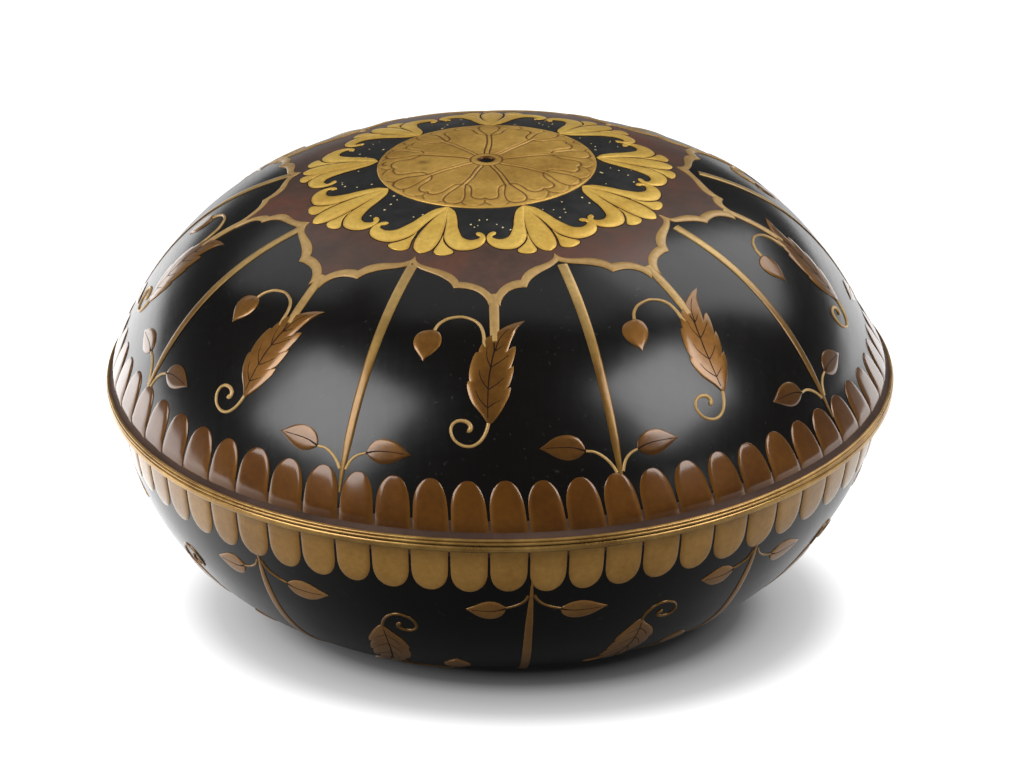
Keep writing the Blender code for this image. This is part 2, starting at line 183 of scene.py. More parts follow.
def smoothSide(stretches, spacing):
    # Smooth stretches joined end to end, with a sharp corner kept at each joint
    made = []
    for stretch in stretches:
        stretch = np.asarray(stretch, float)
        length = np.sum(np.hypot(*np.diff(stretch, axis=0).T))
        line = smoothLine(stretch, max(3, int(length / spacing) + 2))
        made.append(line if not made else line[1:])
    return np.concatenate(made)


def shareAlong(points):
    # Share of the whole length at which each point of a line stands
    length = np.concatenate(([0.0], np.cumsum(np.hypot(*np.diff(points, axis=0).T))))
    return length / length[-1]


def readAt(points, shares, at):
    # A line's points read between their shares
    return np.stack([np.interp(at, shares, points[:, k]) for k in range(points.shape[1])], 1)


def matched(left, right, middle):
    # Rows for a band: both sides and the middle line read at every share of length where a side has a point
    leftShare, rightShare = shareAlong(left), shareAlong(right)
    at = np.unique(np.round(np.concatenate((leftShare, rightShare)), 5))
    return readAt(left, leftShare, at), readAt(right, rightShare, at), readAt(middle, shareAlong(middle), at)


def ringFaces(rows, columns, closed):
    # Four-sided faces between rows of points, each row a closed ring
    i = np.arange(rows if closed else rows - 1)[:, None]
    j = np.arange(columns)[None, :]
    nextRow, nextColumn = (i + 1) % rows, (j + 1) % columns
    return np.stack((i * columns + j, i * columns + nextColumn,
                     nextRow * columns + nextColumn, nextRow * columns + j), -1).reshape(-1, 4)


def band(place, left, right, middle=None, height=0.8, edge=0.3, soft=1.0, power=4.0, across=8,
         sink=0.35, closed=False, fade=None):
    # A closed strip between two sides. At share v from the middle (0) to a side (1) the top stands at
    # shoulder + (crest - shoulder) * (1 - v ** power); the shoulder is edge and the crest is
    # edge + (height - edge) * (1 - exp(-width / soft)), so that tips get thin
    left, right = np.asarray(left, float), np.asarray(right, float)
    middle = (left + right) / 2 if middle is None else np.asarray(middle, float)
    width = np.hypot(*(right - left).T)
    crest = edge + (height - edge) * (1 - np.exp(-width / soft))
    shoulder = np.full(len(left), edge)
    if fade is not None:
        crest, shoulder = crest * fade, shoulder * fade
    v = np.linspace(-1.0, 1.0, across + 1)
    v = np.sign(v) * (1 - (1 - np.abs(v)) ** 1.5)        # more columns near the sides
    share = np.abs(v)[None, :, None]
    side = np.where(v[None, :, None] < 0, left[:, None, :], right[:, None, :])
    flat = middle[:, None, :] * (1 - share) + side * share
    flat = np.concatenate((flat, right[:, None, :], left[:, None, :]), 1)
    lift = shoulder[:, None] + (crest - shoulder)[:, None] * (1 - np.abs(v)[None, :] ** power)
    lift = np.concatenate((lift, np.full((len(left), 2), -sink)), 1)
    rows, columns = lift.shape
    points = place(flat[..., 0], flat[..., 1], lift).reshape(-1, 3)
    rim = np.concatenate((np.abs(v), (1.2, 1.2)))        # past 1 down the buried sides
    faces = ringFaces(rows, columns, closed).tolist()
    if not closed:
        faces.append(list(range(columns))[::-1])
        faces.append([(rows - 1) * columns + k for k in range(columns)])
    return points, faces, np.tile(rim, rows)


def stroke(place, line, width, height=0.4, edge=0.1, across=4, power=2.0, sink=0.3, spacing=0.6, soft=0.3):
    # A strip of a given width carried along a line, its sides half a width off along the line's normal
    line = np.asarray(line, float)
    length = np.sum(np.hypot(*np.diff(line, axis=0).T))
    count = max(4, int(length / spacing) + 2)
    width = np.interp(np.linspace(0, 1, count), np.linspace(0, 1, np.size(width)), np.atleast_1d(width))
    path = smoothLine(line, count)
    along = np.gradient(path, axis=0)
    along /= np.hypot(*along.T)[:, None]
    off = np.stack((-along[:, 1], along[:, 0]), 1) * width[:, None] / 2
    return band(place, path + off, path - off, height=height, edge=edge, across=across, power=power,
                sink=sink, soft=soft)


def turnedShell(line, columns, closed=False):
    # An (r, z) line carried round the axis; its ends close in a pole where they reach the axis
    line = np.asarray(line, float)
    poles = [] if closed else [line[0, 0] < 1e-9, line[-1, 0] < 1e-9]
    body = line if closed else line[int(poles[0]):len(line) - int(poles[1])]
    turn = np.arange(columns) * 2 * pi / columns
    points = np.stack((body[:, 0, None] * np.cos(turn), body[:, 0, None] * np.sin(turn),
                       np.repeat(body[:, 1, None], columns, 1)), -1)
    rows = len(body)
    points = points.reshape(-1, 3)
    faces = ringFaces(rows, columns, closed).tolist()
    for end, row in ((0, 0), (-1, rows - 1)):
        if not closed and poles[end]:
            pole = len(points)
            points = np.concatenate((points, [(0.0, 0.0, line[end, 1])]))
            faces += [[row * columns + j, row * columns + (j + 1) % columns, pole] for j in range(columns)]
    return points, faces, np.zeros(len(points))


# The old wood has moved: the rim sits lower at the right and the back, and a little wide
rimWarp = {"moveX": 0.0011, "wide": 0.00092, "sink": -0.00098, "tiltX": -0.0131, "tiltY": -0.0100,
           "saddle": -0.00066, "twist": -0.00072, "dent": -0.00085, "dentTurn": -1.22, "dentWidth": 0.42,
           "reach": 0.066, "sideReach": (0.040, 0.016), "still": 0.05}


def fading(away, reach):
    # 1 at the seam, then 1 - 3 u^2 + 2 u^3 down to 0 at the reach
    u = np.clip(np.abs(away) / reach, 0.0, 1.0)
    return 1 - 3 * u ** 2 + 2 * u ** 3


def warped(points):
    # Height + share * (sink + tiltX x + tiltY y + saddle cos(2 turn) + twist sin(2 turn) + a shallow dent,
    # dent * exp(-((turn - dentTurn) / dentWidth) ** 2)); near the seam also radius + side share * wide and
    # x + side share * moveX. "sideReach" is how far that goes below and above the seam
    x, y, z = np.asarray(points, float).T
    turn, r = np.arctan2(y, x), np.hypot(x, y)
    outer = np.clip(r / rimWarp["still"], 0.0, 1.0) ** 2        # nothing moves near the axis
    share = fading(z - seamHeight, rimWarp["reach"]) * outer
    sideShare = fading(z - seamHeight, np.where(z < seamHeight, *rimWarp["sideReach"])) * outer
    drop = (rimWarp["sink"] + rimWarp["tiltX"] * x + rimWarp["tiltY"] * y
            + rimWarp["saddle"] * np.cos(2 * turn) + rimWarp["twist"] * np.sin(2 * turn)
            + rimWarp["dent"] * np.exp(-((turn - rimWarp["dentTurn"]) / rimWarp["dentWidth"]) ** 2))
    r = r + sideShare * rimWarp["wide"]
    return np.stack((r * np.cos(turn) + sideShare * rimWarp["moveX"], r * np.sin(turn), z + share * drop), 1)


def makePiece(name, parts, material, replaced=(), sharp=38.0, extra=None):
    # Joins the parts into one mesh, turns its faces outwards and hands it to the frame
    points, faces, rims = [], [], []
    base = 0
    for part in parts:
        points.append(part[0])
        faces += [[k + base for k in face] for face in part[1]]
        rims.append(part[2])
        base += len(part[0])
    mesh = bpy.data.meshes.new(name)
    mesh.from_pydata(warped(np.concatenate(points)).tolist(), [], faces)
    rim = mesh.attributes.new("rim", "FLOAT", "POINT")
    rim.data.foreach_set("value", np.concatenate(rims).astype(np.float32))
    for label, values in (extra or {}).items():
        attribute = mesh.attributes.new(label, "FLOAT", "POINT")
        attribute.data.foreach_set("value", np.asarray(values, np.float32))
    work = bmesh.new()
    work.from_mesh(mesh)
    bmesh.ops.recalc_face_normals(work, faces=work.faces)
    work.to_mesh(mesh)
    work.free()
    mesh.shade_smooth()
    mesh.set_sharp_from_angle(angle=radians(sharp))
    mesh.materials.append(material)
    piece = bpy.data.objects.new(name, mesh)
    scene.collection.objects.link(piece)
    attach(piece, "root")
    if replaced:
        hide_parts(*replaced)
    mesh.calc_loop_triangles()
    print(name, len(mesh.loop_triangles), "triangles")
    return piece


# Materials
def startMaterial(name):
    # A new material's node tree and shader, with Object coordinates to read
    material = bpy.data.materials.new(name)
    material.use_nodes = True
    tree = material.node_tree
    shader = tree.nodes["Principled BSDF"]
    where = tree.nodes.new("ShaderNodeTexCoord")
    return material, tree, shader, where


def noise(tree, where, scale, detail, rough, stretch=None):
    # Noise over the object; stretch is the scale and the rotation of a mapping before it
    node = tree.nodes.new("ShaderNodeTexNoise")
    node.inputs["Scale"].default_value = scale
    node.inputs["Detail"].default_value = detail
    node.inputs["Roughness"].default_value = rough
    if stretch is None:
        tree.links.new(where.outputs["Object"], node.inputs["Vector"])
    else:
        mapping = tree.nodes.new("ShaderNodeMapping")
        mapping.inputs["Scale"].default_value = stretch[0]
        mapping.inputs["Rotation"].default_value = stretch[1]
        tree.links.new(where.outputs["Object"], mapping.inputs["Vector"])
        tree.links.new(mapping.outputs["Vector"], node.inputs["Vector"])
    return node.outputs["Fac"]


def ramp(tree, value, stops):
    # A value turned into a colour between stops, each a place and its colour
    node = tree.nodes.new("ShaderNodeValToRGB")
    while len(node.color_ramp.elements) < len(stops):
        node.color_ramp.elements.new(0.5)
    for element, (at, colour) in zip(node.color_ramp.elements, stops):
        element.position = at
        element.color = (*colour, 1.0) if len(colour) == 3 else colour
    tree.links.new(value, node.inputs["Fac"])
    return node.outputs["Color"]


def level(at, value):
    # A grey stop
    return (at, (value, value, value))


def mixed(tree, factor, a, b, way="MIX"):
    # Two colours mixed; the factor and the colours are sockets or plain values
    node = tree.nodes.new("ShaderNodeMix")
    node.data_type = "RGBA"
    node.blend_type = way
    for socket, value in ((node.inputs[0], factor), (node.inputs[6], a), (node.inputs[7], b)):
        if isinstance(value, bpy.types.NodeSocket):
            tree.links.new(value, socket)
        elif isinstance(value, (int, float)):
            socket.default_value = value
        else:
            socket.default_value = (*value, 1.0)
    return node.outputs[2]


def bumped(tree, shader, heights):
    # Stacks bumps; each is (height, strength, distance in metres)
    last = None
    for height, strength, distance in heights:
        node = tree.nodes.new("ShaderNodeBump")
        node.inputs["Strength"].default_value = strength
        node.inputs["Distance"].default_value = distance
        tree.links.new(height, node.inputs["Height"])
        if last is not None:
            tree.links.new(last, node.inputs["Normal"])
        last = node.outputs["Normal"]
    tree.links.new(last, shader.inputs["Normal"])
    return last


def blackLacquer(name, settings):
    # Near-black lacquer: faint brown mottling, dust specks, fine scratches in two directions
    material, tree, shader, where = startMaterial(name)
    mottle = noise(tree, where, settings["mottle"], 5.0, 0.6)
    colour = ramp(tree, mottle, ((0.3, settings["dark"]), (0.72, settings["light"])))
    specks = noise(tree, where, settings["specks"], 1.0, 0.4)
    speckMask = ramp(tree, specks, (level(0.70, 0.0), level(0.80, 1.0)))
    colour = mixed(tree, speckMask, colour, settings["dust"])
    tree.links.new(colour, shader.inputs["Base Color"])
    wiped = [noise(tree, where, scale, 3.0, 0.7, stretch) for scale, stretch in settings["scratches"]]
    scratches = mixed(tree, 0.5, *wiped)
    rough = ramp(tree, scratches, (level(0.35, settings["rough"][0]), level(0.65, settings["rough"][1])))
    tree.links.new(rough, shader.inputs["Roughness"])
    wave = noise(tree, where, settings["wave"], 2.0, 0.5)
    bumped(tree, shader, ((wave, 0.06, 0.004), (scratches, 0.005, 0.0006)))
    shader.inputs["IOR"].default_value = 1.5
    shader.inputs["Specular IOR Level"].default_value = settings["shine"]
    return material


# What the golds share where their own settings say nothing; "broad", "fine" and "chips" are noise scales,
# and "rimShare" is how much of the rim's colour shows at the very side
goldPowder = {"broad": 55.0, "fine": 600.0, "chips": 130.0, "grain": 0.12, "shine": 0.5, "coatRough": 0.16}


def goldLacquer(name, ownSettings):
    # Gold powder under lacquer: two sizes of mottling, a darker or lighter rim, chips, powder grain in the
    # bump; "low" is how much of the colour is left below a band of heights given next to it: a painted shade
    # that darkens the lower parts
    settings = {**goldPowder, **ownSettings}
    material, tree, shader, where = startMaterial(name)
    broad = noise(tree, where, settings["broad"], 4.0, 0.6)
    fine = noise(tree, where, settings["fine"], 3.0, 0.6)
    colour = ramp(tree, broad, ((0.32, settings["dark"]), (0.68, settings["light"])))
    grain = ramp(tree, fine, (level(0.3, 0.80), level(0.7, 1.12)))
    colour = mixed(tree, 0.7, colour, grain, "MULTIPLY")
    rim = tree.nodes.new("ShaderNodeAttribute")
    rim.attribute_name = "rim"
    rimMask = ramp(tree, rim.outputs["Fac"], (level(0.70, 0.0), level(1.0, settings["rimShare"])))
    colour = mixed(tree, rimMask, colour, settings["rim"])
    worn = noise(tree, where, settings["chips"], 6.0, 0.75)
    wornMask = ramp(tree, worn, (level(0.62, 0.0), level(0.74, settings["wear"])))
    colour = mixed(tree, wornMask, colour, settings["worn"])
    # painted shade: below the band of heights the colour is multiplied by "low", darker lower down as if less
    # light fell there
    if "low" in settings:
        split = tree.nodes.new("ShaderNodeSeparateXYZ")
        tree.links.new(where.outputs["Object"], split.inputs["Vector"])
        low, high = settings["paintedShadeHeights"]
        paintedShadeMask = ramp(tree, split.outputs["Z"], (level(low, 1.0), level(high, 0.0)))
        colour = mixed(tree, paintedShadeMask, colour, mixed(tree, 1.0, colour, settings["low"], "MULTIPLY"))
    if "line" in settings:
        line = tree.nodes.new("ShaderNodeAttribute")
        line.attribute_name = "line"
        colour = mixed(tree, line.outputs["Fac"], colour, settings["line"])
    tree.links.new(colour, shader.inputs["Base Color"])
    rough = ramp(tree, broad, (level(0.3, settings["rough"] - 0.05), level(0.7, settings["rough"] + 0.07)))
    tree.links.new(rough, shader.inputs["Roughness"])
    bumped(tree, shader, ((broad, 0.10, 0.0012), (fine, settings["grain"], 0.00025)))
    shader.inputs["Metallic"].default_value = settings["metal"]
    shader.inputs["Coat Weight"].default_value = settings["coat"]
    shader.inputs["Coat Roughness"].default_value = settings["coatRough"]
    shader.inputs["Coat IOR"].default_value = 1.5
    shader.inputs["Specular IOR Level"].default_value = settings["shine"]
    return material


# The same for the coloured lacquers
plainFinish = {"broad": 40.0, "fine": 420.0, "shine": 0.5, "coatRough": 0.18}


def plainLacquer(name, ownSettings):
    # Coloured lacquer: mottled between three tones, with a fine grain
    settings = {**plainFinish, **ownSettings}
    material, tree, shader, where = startMaterial(name)
    broad = noise(tree, where, settings["broad"], 6.0, 0.65)
    tones = ((0.30, settings["dark"]), (0.5, settings["middle"]), (0.70, settings["light"]))
    colour = ramp(tree, broad, tones)
    fine = noise(tree, where, settings["fine"], 3.0, 0.6)
    grain = ramp(tree, fine, (level(0.3, 0.82), level(0.7, 1.15)))
    colour = mixed(tree, 0.6, colour, grain, "MULTIPLY")
    tree.links.new(colour, shader.inputs["Base Color"])
    rough = ramp(tree, fine, (level(0.3, settings["rough"] - 0.04), level(0.7, settings["rough"] + 0.05)))
    tree.links.new(rough, shader.inputs["Roughness"])
    bumped(tree, shader, ((broad, 0.08, 0.001), (fine, 0.08, 0.0002)))
    shader.inputs["Coat Weight"].default_value = settings["coat"]
    shader.inputs["Coat Roughness"].default_value = settings["coatRough"]
    shader.inputs["Specular IOR Level"].default_value = settings["shine"]
    return material


# Each scratch pattern is its noise scale with the mapping's scale and rotation
lacquerBlack = blackLacquer("black lacquer", {
    "dark": (0.0018, 0.0016, 0.0014), "light": (0.0045, 0.0036, 0.0030), "dust": (0.02, 0.02, 0.018),
    "mottle": 28.0, "specks": 760.0, "wave": 35.0, "rough": (0.20, 0.24), "shine": 0.5,
    "scratches": ((60.0, ((1.0, 14.0, 3.0), (0.2, 0.1, 0.5))),
                  (50.0, ((16.0, 1.2, 2.0), (0.1, 0.3, -0.35))))})
lacquerRed = plainLacquer("red-brown lacquer", {
    "dark": (0.048, 0.026, 0.019), "middle": (0.080, 0.040, 0.026), "light": (0.135, 0.042, 0.022),
    "rough": 0.42, "coat": 0.2, "broad": 48.0})
lacquerDusty = plainLacquer("dusty black lacquer", {
    "dark": (0.0075, 0.0080, 0.0080), "middle": (0.013, 0.0135, 0.0135), "light": (0.026, 0.026, 0.025),
    "rough": 0.40, "coat": 0.15, "broad": 110.0})
lacquerCove = plainLacquer("brown lacquer of the cove", {
    "dark": (0.045, 0.024, 0.018), "middle": (0.065, 0.037, 0.027), "light": (0.090, 0.055, 0.040),
    "rough": 0.68, "coat": 0.0, "shine": 0.15})
lineBrown = plainLacquer("dark brown of the drawn lines", {
    "dark": (0.010, 0.004, 0.002), "middle": (0.018, 0.007, 0.003), "light": (0.030, 0.012, 0.005),
    "rough": 0.6, "coat": 0.0, "shine": 0.1})
goldBright = goldLacquer("bright gold of the palmettes", {
    "dark": (0.84, 0.50, 0.085), "light": (1.0, 0.68, 0.15), "rim": (0.40, 0.19, 0.03),
    "worn": (0.50, 0.26, 0.05), "rough": 0.40, "metal": 0.45, "coat": 0.1, "wear": 0.6, "rimShare": 0.5})
goldMedallion = goldLacquer("old gold of the medallion", {
    "dark": (0.54, 0.29, 0.052), "light": (0.82, 0.50, 0.115), "rim": (0.68, 0.40, 0.10),
    "worn": (0.36, 0.17, 0.035), "line": (0.11, 0.036, 0.006),
    "rough": 0.42, "metal": 0.5, "coat": 0.08, "wear": 0.5, "rimShare": 0.0})
goldFrame = goldLacquer("tan gold of the frame and tendrils", {
    "dark": (0.42, 0.245, 0.075), "light": (0.58, 0.37, 0.13), "rim": (0.36, 0.19, 0.06),
    "worn": (0.24, 0.11, 0.03),
    "rough": 0.44, "metal": 0.3, "coat": 0.4, "coatRough": 0.20, "wear": 0.45, "rimShare": 0.4})
# The ribs' gold takes a painted shade: darker below a band of heights on the lid, and so all through the
# bowl's tendrils that share it
goldRib = goldLacquer("gold of the ribs", {
    "dark": (0.46, 0.28, 0.085), "light": (0.64, 0.42, 0.135), "rim": (0.30, 0.16, 0.05),
    "worn": (0.24, 0.11, 0.03), "low": (0.42, 0.33, 0.20), "paintedShadeHeights": (0.114, 0.126),
    "rough": 0.38, "metal": 0.6, "shine": 0.3, "coat": 0.6, "wear": 0.45, "rimShare": 0.4})
goldFlake = goldLacquer("bright gold of the flakes", {
    "dark": (0.95, 0.72, 0.30), "light": (1.0, 0.86, 0.50), "rim": (0.9, 0.7, 0.3), "worn": (0.9, 0.6, 0.2),
    "rough": 0.35, "metal": 0.2, "coat": 0.3, "wear": 0.2, "rimShare": 0.0})
# The leaves' gold takes a painted shade: darker below a band of heights on the lid
goldLeaf = goldLacquer("brown gold of the leaves", {
    "dark": (0.17, 0.068, 0.010), "light": (0.28, 0.125, 0.022), "rim": (0.34, 0.17, 0.04),
    "worn": (0.08, 0.030, 0.004), "low": (0.45, 0.40, 0.36), "paintedShadeHeights": (0.094, 0.108),
    "rough": 0.38, "metal": 0.6, "shine": 0.15, "coat": 1.0, "coatRough": 0.15, "wear": 0.35,
    "rimShare": 0.45})
# A lighter copy of the leaves' gold for the bowl's leaves and ribs, whose downward faces get little light:
# painted light
goldLeafWithPaintedLight = goldLacquer("brown gold of the bowl's leaves, lightened as painted light", {
    "dark": (0.23, 0.100, 0.020), "light": (0.36, 0.175, 0.045), "rim": (0.40, 0.20, 0.06),
    "worn": (0.12, 0.05, 0.01),
    "rough": 0.42, "metal": 0.4, "shine": 0.2, "coat": 0.8, "coatRough": 0.15, "wear": 0.35, "rimShare": 0.4})
goldTongue = goldLacquer("brown gold of the lid's tongues", {
    "dark": (0.092, 0.028, 0.0012), "light": (0.138, 0.049, 0.0026), "rim": (0.23, 0.10, 0.018),
    "worn": (0.05, 0.012, 0.001),
    "rough": 0.42, "metal": 0.4, "shine": 0.15, "coat": 1.0, "coatRough": 0.14, "wear": 0.4, "rimShare": 0.4})
# A much lighter tongue gold than the lid's, for the bowl's tongues, whose downward faces get little light:
# painted light
goldTongueWithPaintedLight = goldLacquer("tan gold of the bowl's tongues, lightened as painted light", {
    "dark": (0.30, 0.150, 0.030), "light": (0.40, 0.215, 0.050), "rim": (0.27, 0.13, 0.028),
    "worn": (0.20, 0.09, 0.02),
    "rough": 0.50, "metal": 0.05, "shine": 0.15, "coat": 1.0, "coatRough": 0.10, "wear": 0.35,
    "rimShare": 0.5})
goldBead = goldLacquer("worn gold of the beads", {
    "dark": (0.34, 0.18, 0.045), "light": (0.58, 0.35, 0.10), "rim": (0.50, 0.28, 0.08),
    "worn": (0.05, 0.022, 0.008), "rough": 0.30, "metal": 0.7, "coat": 0.4, "wear": 0.75, "rimShare": 0.0,
    "broad": 90.0})
print("materials made")


# Hollow shells, which stand for the two solids
def wallInside(ground, startS, endS, count):
    # A line one wall's thickness inside the ground between two arc lengths
    s = np.linspace(startS, endS, count)
    r = np.interp(s, ground["s"], ground["r"]) - box["wall"] * np.interp(s, ground["s"], ground["nr"])
    z = np.interp(s, ground["s"], ground["z"]) - box["wall"] * np.interp(s, ground["s"], ground["nz"])
    return np.stack((r, z), 1)


def arcAtHeight(ground, z):
    # Arc length at which a ground stands at a height
    order = np.argsort(ground["z"])
    return float(np.interp(z, ground["z"][order], ground["s"][order]))


# "lidFine" and "bowlFine" are how far from their upper ends, and with how many rows, the outsides are
# finer; each "ease" is how far a corner is broken; "floor" is the bowl's inside floor, as share of the
# radius and drop
shell = {
    "columns": 432, "lidRows": 118, "bowlRows": 96, "insideRows": 34,
    "lidFine": (0.009, 25), "bowlFine": (0.006, 17), "lidInset": 0.0014, "bowlInset": 0.0016,
    "beadFoot": 0.0012, "ease": 0.0003, "seatEase": 0.0004, "seatWall": 0.0042, "lipFoot": 0.0002,
    "lipEase": 0.0005, "footEase": 0.0006, "floor": ((0.66, 0.0004), (0.33, 0.0006), (0.0, 0.0006)),
}


def shellOutside(ground, startS, endS, rows, fine):
    # The ground's (r, z) line between two arc lengths, with finer rows over the last reach
    fineS = endS + fine[0] * np.sign(startS - endS)
    s = np.concatenate((np.linspace(startS, fineS, rows), np.linspace(fineS, endS, fine[1])[1:]))
    return np.stack((np.interp(s, ground["s"], ground["r"]), np.interp(s, ground["s"], ground["z"])), 1)


def lidShellLine():
    # Outside from the pole to the bead, then the rim, the seat and the inside back to the axis
    outside = shellOutside(lidGround, 0.0, lidGround["s"][-1], shell["lidRows"], shell["lidFine"])
    edge, seat, ease = box["rimRadius"] - shell["lidInset"], box["seatRadius"], shell["ease"]
    seatTop = lidBase + box["seatHeight"]
    rim = [(edge, lidBase + shell["beadFoot"]), (edge, lidBase + 0.0001), (edge - ease, lidBase),
           (seat + ease, lidBase), (seat, lidBase + ease), (seat, seatTop - shell["seatEase"]),
           (seat - shell["seatEase"], seatTop)]
    startS = arcAtHeight(lidGround, seatTop + shell["seatWall"])
    inside = wallInside(lidGround, startS, 0.0, shell["insideRows"])
    inside[-1, 0] = 0.0
    return np.concatenate((outside, rim, inside))


def bowlShellLine():
    # Underside and foot, outside up to the bead, then the rim, the lip and the inside down to the axis
    footS = float(np.interp(-box["footRadius"], -bowlGround["r"], bowlGround["s"]))
    outside = shellOutside(bowlGround, footS, bowlGround["s"][0], shell["bowlRows"], shell["bowlFine"])
    footOuter, recess, footEase = box["footRadius"], box["footRecess"], shell["footEase"]
    footInner = footOuter - box["footWidth"]
    foot = [(0.0, recess + 0.0002), (footInner * 0.5, recess + 0.0002),
            (footInner - footEase, recess + 0.0001), (footInner, recess - 0.0002),
            (footInner + 0.0002, 0.0003), (footInner + footEase, 0.0), (footOuter - footEase, 0.0),
            (footOuter - 0.0001, 0.0004), (footOuter, 0.0012)]
    edge, ease, lipEase = box["rimRadius"] - shell["bowlInset"], shell["ease"], shell["lipEase"]
    lipOuter = box["seatRadius"] - box["lipClearance"]
    lipInner = lipOuter - box["lipThickness"]
    lipTop = seamHeight + box["lipHeight"]
    rim = [(edge, seamHeight - shell["beadFoot"]), (edge, seamHeight - 0.0001), (edge - ease, seamHeight),
           (lipOuter + shell["lipFoot"], seamHeight), (lipOuter, seamHeight + shell["lipFoot"]),
           (lipOuter, lipTop - lipEase), (lipOuter - lipEase, lipTop), (lipInner + lipEase, lipTop),
           (lipInner, lipTop - lipEase), (lipInner, seamHeight - box["lipDepth"])]
    inside = wallInside(bowlGround, 3 * box["lipDepth"], footS, shell["insideRows"])
    floorLine = [(inside[-1, 0] * share, inside[-1, 1] - drop) for share, drop in shell["floor"]]
    return np.concatenate((foot, outside, rim, inside, floorLine))


makePiece("lidShell", [turnedShell(lidShellLine(), shell["columns"])], lacquerBlack, ["lid"])
makePiece("bowlShell", [turnedShell(bowlShellLine(), shell["columns"])], lacquerBlack,
          ["bowl"])


# Beads at the seam: the lid's is two rounds, the bowl's one with a worn line along its middle
beads = {
    "rise": 0.00025, "split": 0.00125, "parting": 0.00003, "above": 0.0001, "back": 0.0022, "columns": 540,
    "lidInsets": (0.0007, 0.00095), "lidBulge": 0.0007, "lidRows": 11,
    "bowlInset": 0.00075, "bowlBulge": 0.00068, "bowlRows": 21, "groove": 0.00010, "grooveWidth": 0.16,
}


def halfRound(low, high, inset, bulge, rows, groove=0.0):
    # rim radius - inset + bulge * cos(t), from low to high, less a narrow groove
    # groove * exp(-(t / width) ** 2) in the middle
    t = np.linspace(-pi / 2, pi / 2, rows)
    reach = box["rimRadius"] - inset + bulge * np.cos(t)
    reach -= groove * np.exp(-(t / beads["grooveWidth"]) ** 2)
    return np.stack((reach, (low + high) / 2 + (high - low) / 2 * np.sin(t)), 1)


def beadPart(*rounds):
    # Rounds one above the other, closed by a straight back
    line = np.concatenate(rounds)
    back = box["rimRadius"] - beads["back"]
    closing = [(back, line[-1, 1] - 0.0001), (back, line[0, 1] + 0.0001)]
    return turnedShell(np.concatenate((line, closing)), beads["columns"], closed=True)


lidSplit, lidTop = lidBase + beads["split"], lidBase + box["lidBead"] + beads["above"]
lowInset, topInset = beads["lidInsets"]
lidBead = beadPart(
    halfRound(lidBase + beads["rise"], lidSplit, lowInset, beads["lidBulge"], beads["lidRows"]),
    halfRound(lidSplit + beads["parting"], lidTop, topInset, beads["lidBulge"], beads["lidRows"]))
bowlBead = beadPart(
    halfRound(seamHeight - box["bowlBead"], seamHeight + beads["rise"], beads["bowlInset"],
              beads["bowlBulge"], beads["bowlRows"], beads["groove"]))
makePiece("lidBead", [lidBead], goldBead, sharp=60.0)
makePiece("bowlBead", [bowlBead], goldBead, sharp=60.0)


# Brown coves between the tongues and the beads
coves = {"lidTop": 0.0064, "bowlEnd": 0.0050, "lidRows": 20, "bowlRows": 14, "lift": 0.00006,
         "sink": 0.0005, "runOut": 0.0003}


def skin(ground, startS, endS, rows):
    # A thin turned layer on the ground between two arc lengths, run out to nothing under the tongues
    s = np.linspace(startS, endS, rows)
    fromTongues = s - s[0] if ground is lidGround else s[-1] - s
    top = lifted(ground, s, 0.0, coves["lift"] * np.clip(fromTongues / coves["runOut"], 0.0, 1.0))
    low = lifted(ground, s[::-1], 0.0, -coves["sink"])
    return turnedShell(np.concatenate((top, low))[:, (0, 2)], shell["columns"], closed=True)


lidCove = skin(lidGround, arcAtHeight(lidGround, lidBase + coves["lidTop"]), lidGround["s"][-1],
               coves["lidRows"])
bowlCove = skin(bowlGround, bowlGround["s"][0], coves["bowlEnd"], coves["bowlRows"])
makePiece("lidCove", [lidCove], lacquerCove)
makePiece("bowlCove", [bowlCove], lacquerCove)
print("shells, beads and coves made")


# Tongues: flat plates with straight sides and a rounded tip
rng = np.random.default_rng(7)
tongues = {"sway": 0.0022, "rows": 17, "firstRows": (0.02, 0.12, 0.3, 0.6), "heights": (0.93, 1.05),
           "tipPower": 2.3, "tipRoot": 2.1, "tipLow": 0.2, "tipRise": 1.3, "endFall": 1.2, "endLow": 0.12}
# "gaps" is where some of the hand-drawn gaps stand, as gap number and turn, with the rest between them;
# "lower" is how much lower the tips stand, as turn and millimetres
lidTongues = {
    "gaps": ((-13, -162.0), (-11, -151.1), (-4, -112.4), (0, -91.7), (4, -71.0), (9, -44.4), (14, -17.3),
             (54, 198.0)),
    "lower": ((-180, 0.0), (-95, 0.0), (-70, 0.5), (-28, 1.9), (10, 2.0), (90, 0.6), (180, 0.0)),
    "tip": 132.3, "end": arcAtHeight(lidGround, lidBase + 0.0033) / mm, "round": 8.6, "gap": 0.58,
    "taper": 0.35, "height": 0.50, "edge": 0.15, "uneven": 0.3,
}
bowlTongues = {
    "gaps": ((-11, -151.2), (-5, -118.9), (0, -91.9), (4, -71.0), (9, -43.1), (12, -25.3), (56, 208.8)),
    "lower": ((-180, 0.5), (-95, 0.0), (-20, 0.6), (180, 0.5)),
    "tip": 17.1, "end": 2.7, "round": 7.4, "gap": 0.6,
    "taper": 0.15, "height": 0.45, "edge": 0.12, "uneven": 0.25,
}


